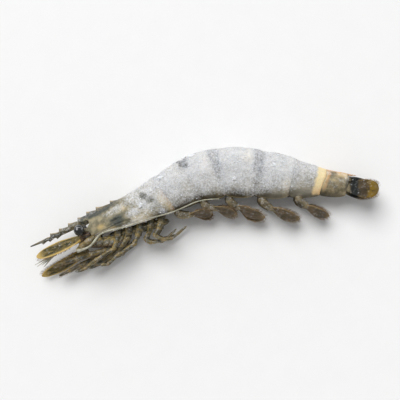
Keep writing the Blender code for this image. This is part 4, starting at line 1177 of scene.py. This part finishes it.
def make_ice(name, shells, amounts, material, lumps):
    """Frost grains on the shells, thickest where their frost is, and a few lumps."""
    random = np.random.default_rng(len(name) * 77)
    columns = []
    for mesh in (item.data for item in shells):
        fields = []
        for data, field, width in ((mesh.vertices, "co", 3), (mesh.vertex_normals, "vector", 3),
                                   (mesh.attributes["frost"].data, "value", 1)):
            values = np.empty(len(data) * width)
            data.foreach_get(field, values)
            fields.append(values.reshape(-1, width))
        columns.append(np.hstack(fields))
    places, normals, cover = np.split(np.concatenate(columns), (3, 6), axis=1)
    cover = cover[:, 0]
    patches = 0.35 + 0.65 * ease(-0.5, 0.6, cloud(places, 2.2, 3, 160))
    upward = ease(-0.2, 0.6, normals[:, 2] + 0.6 * normals[:, 1])
    chance = np.clip(cover - 0.12, 0, 1) ** 1.5 * patches * (0.4 + 0.6 * upward)
    chance[places[:, 2] < GRAINS_FROM] = 0
    chance /= chance.sum()
    piece = Piece(name, material)
    for amount, template, low, high, ragged in ((amounts[0], OCTAHEDRON, 0.07, 0.16, 0.1),
                                                (amounts[1], rounded_solid(), 0.12, 0.26, 0.14)):
        pick = random.choice(len(places), amount, p=chance)
        sizes = (low + (high - low) * random.random(amount) ** 2.2) * METRES
        centres = places[pick] + random.normal(0, 0.12, (amount, 3)) * METRES
        centres = centres + normals[pick] * sizes[:, None] * 0.35
        scatter(piece, template, centres, normals[pick], sizes, random, ragged)
    for along, around, size in lumps:
        height, width = section(along, math.radians(around), 0.35)
        centre = world(along, height, width)
        out = unit(world(along, height * 1.2, width * 1.2) - centre)
        count = int(90 * size)
        spread = random.normal(0, 0.55 * size, (count, 3))
        spread -= (spread @ out)[:, None] * out * 0.75
        sizes = random.uniform(0.16, 0.42, count) * size ** 0.3 * METRES
        facing = np.tile(out, (count, 1))
        scatter(piece, rounded_solid(), centre + spread * METRES, facing, sizes, random, 0.12)
    piece.finish(slot="frosted_shell")


# ---------------------------------------------------------------- stage

def make_stage():
    """Pale floor, soft light and the camera, which looks straight down."""
    scene = bpy.context.scene
    scene.view_settings.view_transform = "Standard"
    look = new_material("pale_floor")
    mesh = bpy.data.meshes.new("floor")
    mesh.from_pydata([(-2, -2, 0), (2, -2, 0), (2, 2, 0), (-2, 2, 0)], [], [(0, 1, 2, 3)])
    mesh.materials.append(look.done(look.mix(look.noise(9), (0.82,) * 3, (0.85,) * 3), 0.6, None))
    floor = link("floor", mesh)
    floor.location.z = -FLOOR_GAP
    scene.world = bpy.data.worlds.new("soft_room")       # pale walls under a dimmer ceiling
    room = Material(scene.world)
    height = room.node("SeparateXYZ", "Z", {0: room.places["Generated"]})
    strength = room.step(height, 0.05, 0.45, 0.86, 0.36, "LINEAR")
    room.put(room.tree.nodes["Background"], {"Color": (1, 1, 1), "Strength": strength})
    light = bpy.data.lights.new("key", "SUN")
    light.angle, light.energy = math.radians(38), 2.72
    link("key", light).rotation_euler = Vector((0.1, -0.38, -0.56)).to_track_quat("-Z", "Y").to_euler()
    low, high = CAD_BOX
    lens = bpy.data.cameras.new("camera")
    lens.lens, lens.clip_start = FOCAL_LENGTH, 0.01
    camera = link("camera", lens)
    distance = (high[0] - low[0]) / OBJECT_SHARE * FOCAL_LENGTH / lens.sensor_width
    camera.location = ((low[0] + high[0]) / 2, (low[1] + high[1]) / 2, distance)
    camera.rotation_euler = (0, 0, -CAMERA_ROLL)
    scene.camera = camera


# Two tones of the shell, the dark tone of its belly (partly its own colour, partly painted shade), and how
# wet it is.
SHELL_TONES = (
    ("frosted", (0.34, 0.31, 0.245), (0.22, 0.205, 0.155), (0.062, 0.046, 0.018), 0.42),
    ("head", (0.33, 0.285, 0.18), (0.15, 0.137, 0.082), (0.055, 0.046, 0.024), 0.38),
    ("tail", (0.33, 0.27, 0.16), (0.125, 0.1, 0.056), (0.09, 0.07, 0.034), 0.34),
)
# Dark and light tone of a limb, its rings, its amber stripe (partly its own colour, partly painted
# highlight), roughness, how far the rings show, and frost.
LIMB_TONES = (
    ("limb", (0.03, 0.028, 0.014), (0.11, 0.088, 0.034), (0.34, 0.24, 0.09), (0.38, 0.27, 0.075),
     0.38, 0.45, 0.25),
    ("stem", (0.06, 0.05, 0.028), (0.15, 0.12, 0.065), (0.36, 0.28, 0.15), (0.26, 0.2, 0.1), 0.38, 0.45),
    ("antennule", (0.055, 0.034, 0.02), (0.14, 0.085, 0.045), (0.36, 0.22, 0.12), (0.34, 0.2, 0.09),
     0.38, 0.45),
    ("whip", (0.27, 0.265, 0.19), (0.42, 0.41, 0.32), (0.13, 0.11, 0.06), (0.52, 0.5, 0.38), 0.45, 0.7),
    ("rostrum", (0.03, 0.034, 0.028), (0.12, 0.1, 0.052), (0.5, 0.4, 0.25), (0.26, 0.2, 0.1), 0.38, 0.8),
)
# Two tones of a blade, its rim and where that starts across it, its ribs, and its gloss.
BLADE_TONES = (
    ("scale", (0.03, 0.028, 0.009), (0.13, 0.095, 0.03), (0.6, 0.42, 0.13), 0.62, (0.26, 0.19, 0.06)),
    ("paddle", (0.045, 0.034, 0.02), (0.11, 0.075, 0.04), (0.24, 0.17, 0.08), 0.8, (0.17, 0.12, 0.055)),
    ("fan", (0.03, 0.021, 0.011), (0.068, 0.048, 0.026), (0.12, 0.08, 0.02), 0.88, (0.09, 0.066, 0.034), 0.1),
)


def dress():
    """Make every piece."""
    shell, head, tail = (shell_material(name + "_shell_look", *tones) for name, *tones in SHELL_TONES)
    limbs = [limb_material(name + "_look", *tones) for name, *tones in LIMB_TONES]
    skin, stem, antennule, whip, rostrum = limbs
    scale, paddle, fan = (blade_material(name + "_look", *tones) for name, *tones in BLADE_TONES)
    bristle = bristle_material()
    ice = frost_material()
    shells = [make_segment(number, tail if number == 6 else shell) for number in range(1, 7)]
    carapace = make_carapace(head, rostrum)
    make_eyes(eye_material())
    make_mouthparts(skin, bristle)
    make_scales(scale, bristle)
    make_antennules(antennule, whip, bristle)
    make_antennae(skin, whip)
    make_maxillipeds(skin, bristle)
    make_legs(skin, bristle)
    make_swimmerets(stem, paddle, bristle)
    make_tail_fan(fan, bristle)
    make_ice("ice_on_abdomen", shells, ICE_GRAINS["abdomen"], ice,
             ((74, 6, 1.8), (75.6, 18, 0.9), (61.5, 40, 0.7), (90, 96, 0.6), (106, 60, 0.5)))
    make_ice("ice_on_head", [carapace], ICE_GRAINS["head"], ice, ((49, 84, 0.6), (55.5, 60, 0.5)))


make_stage()
dress()
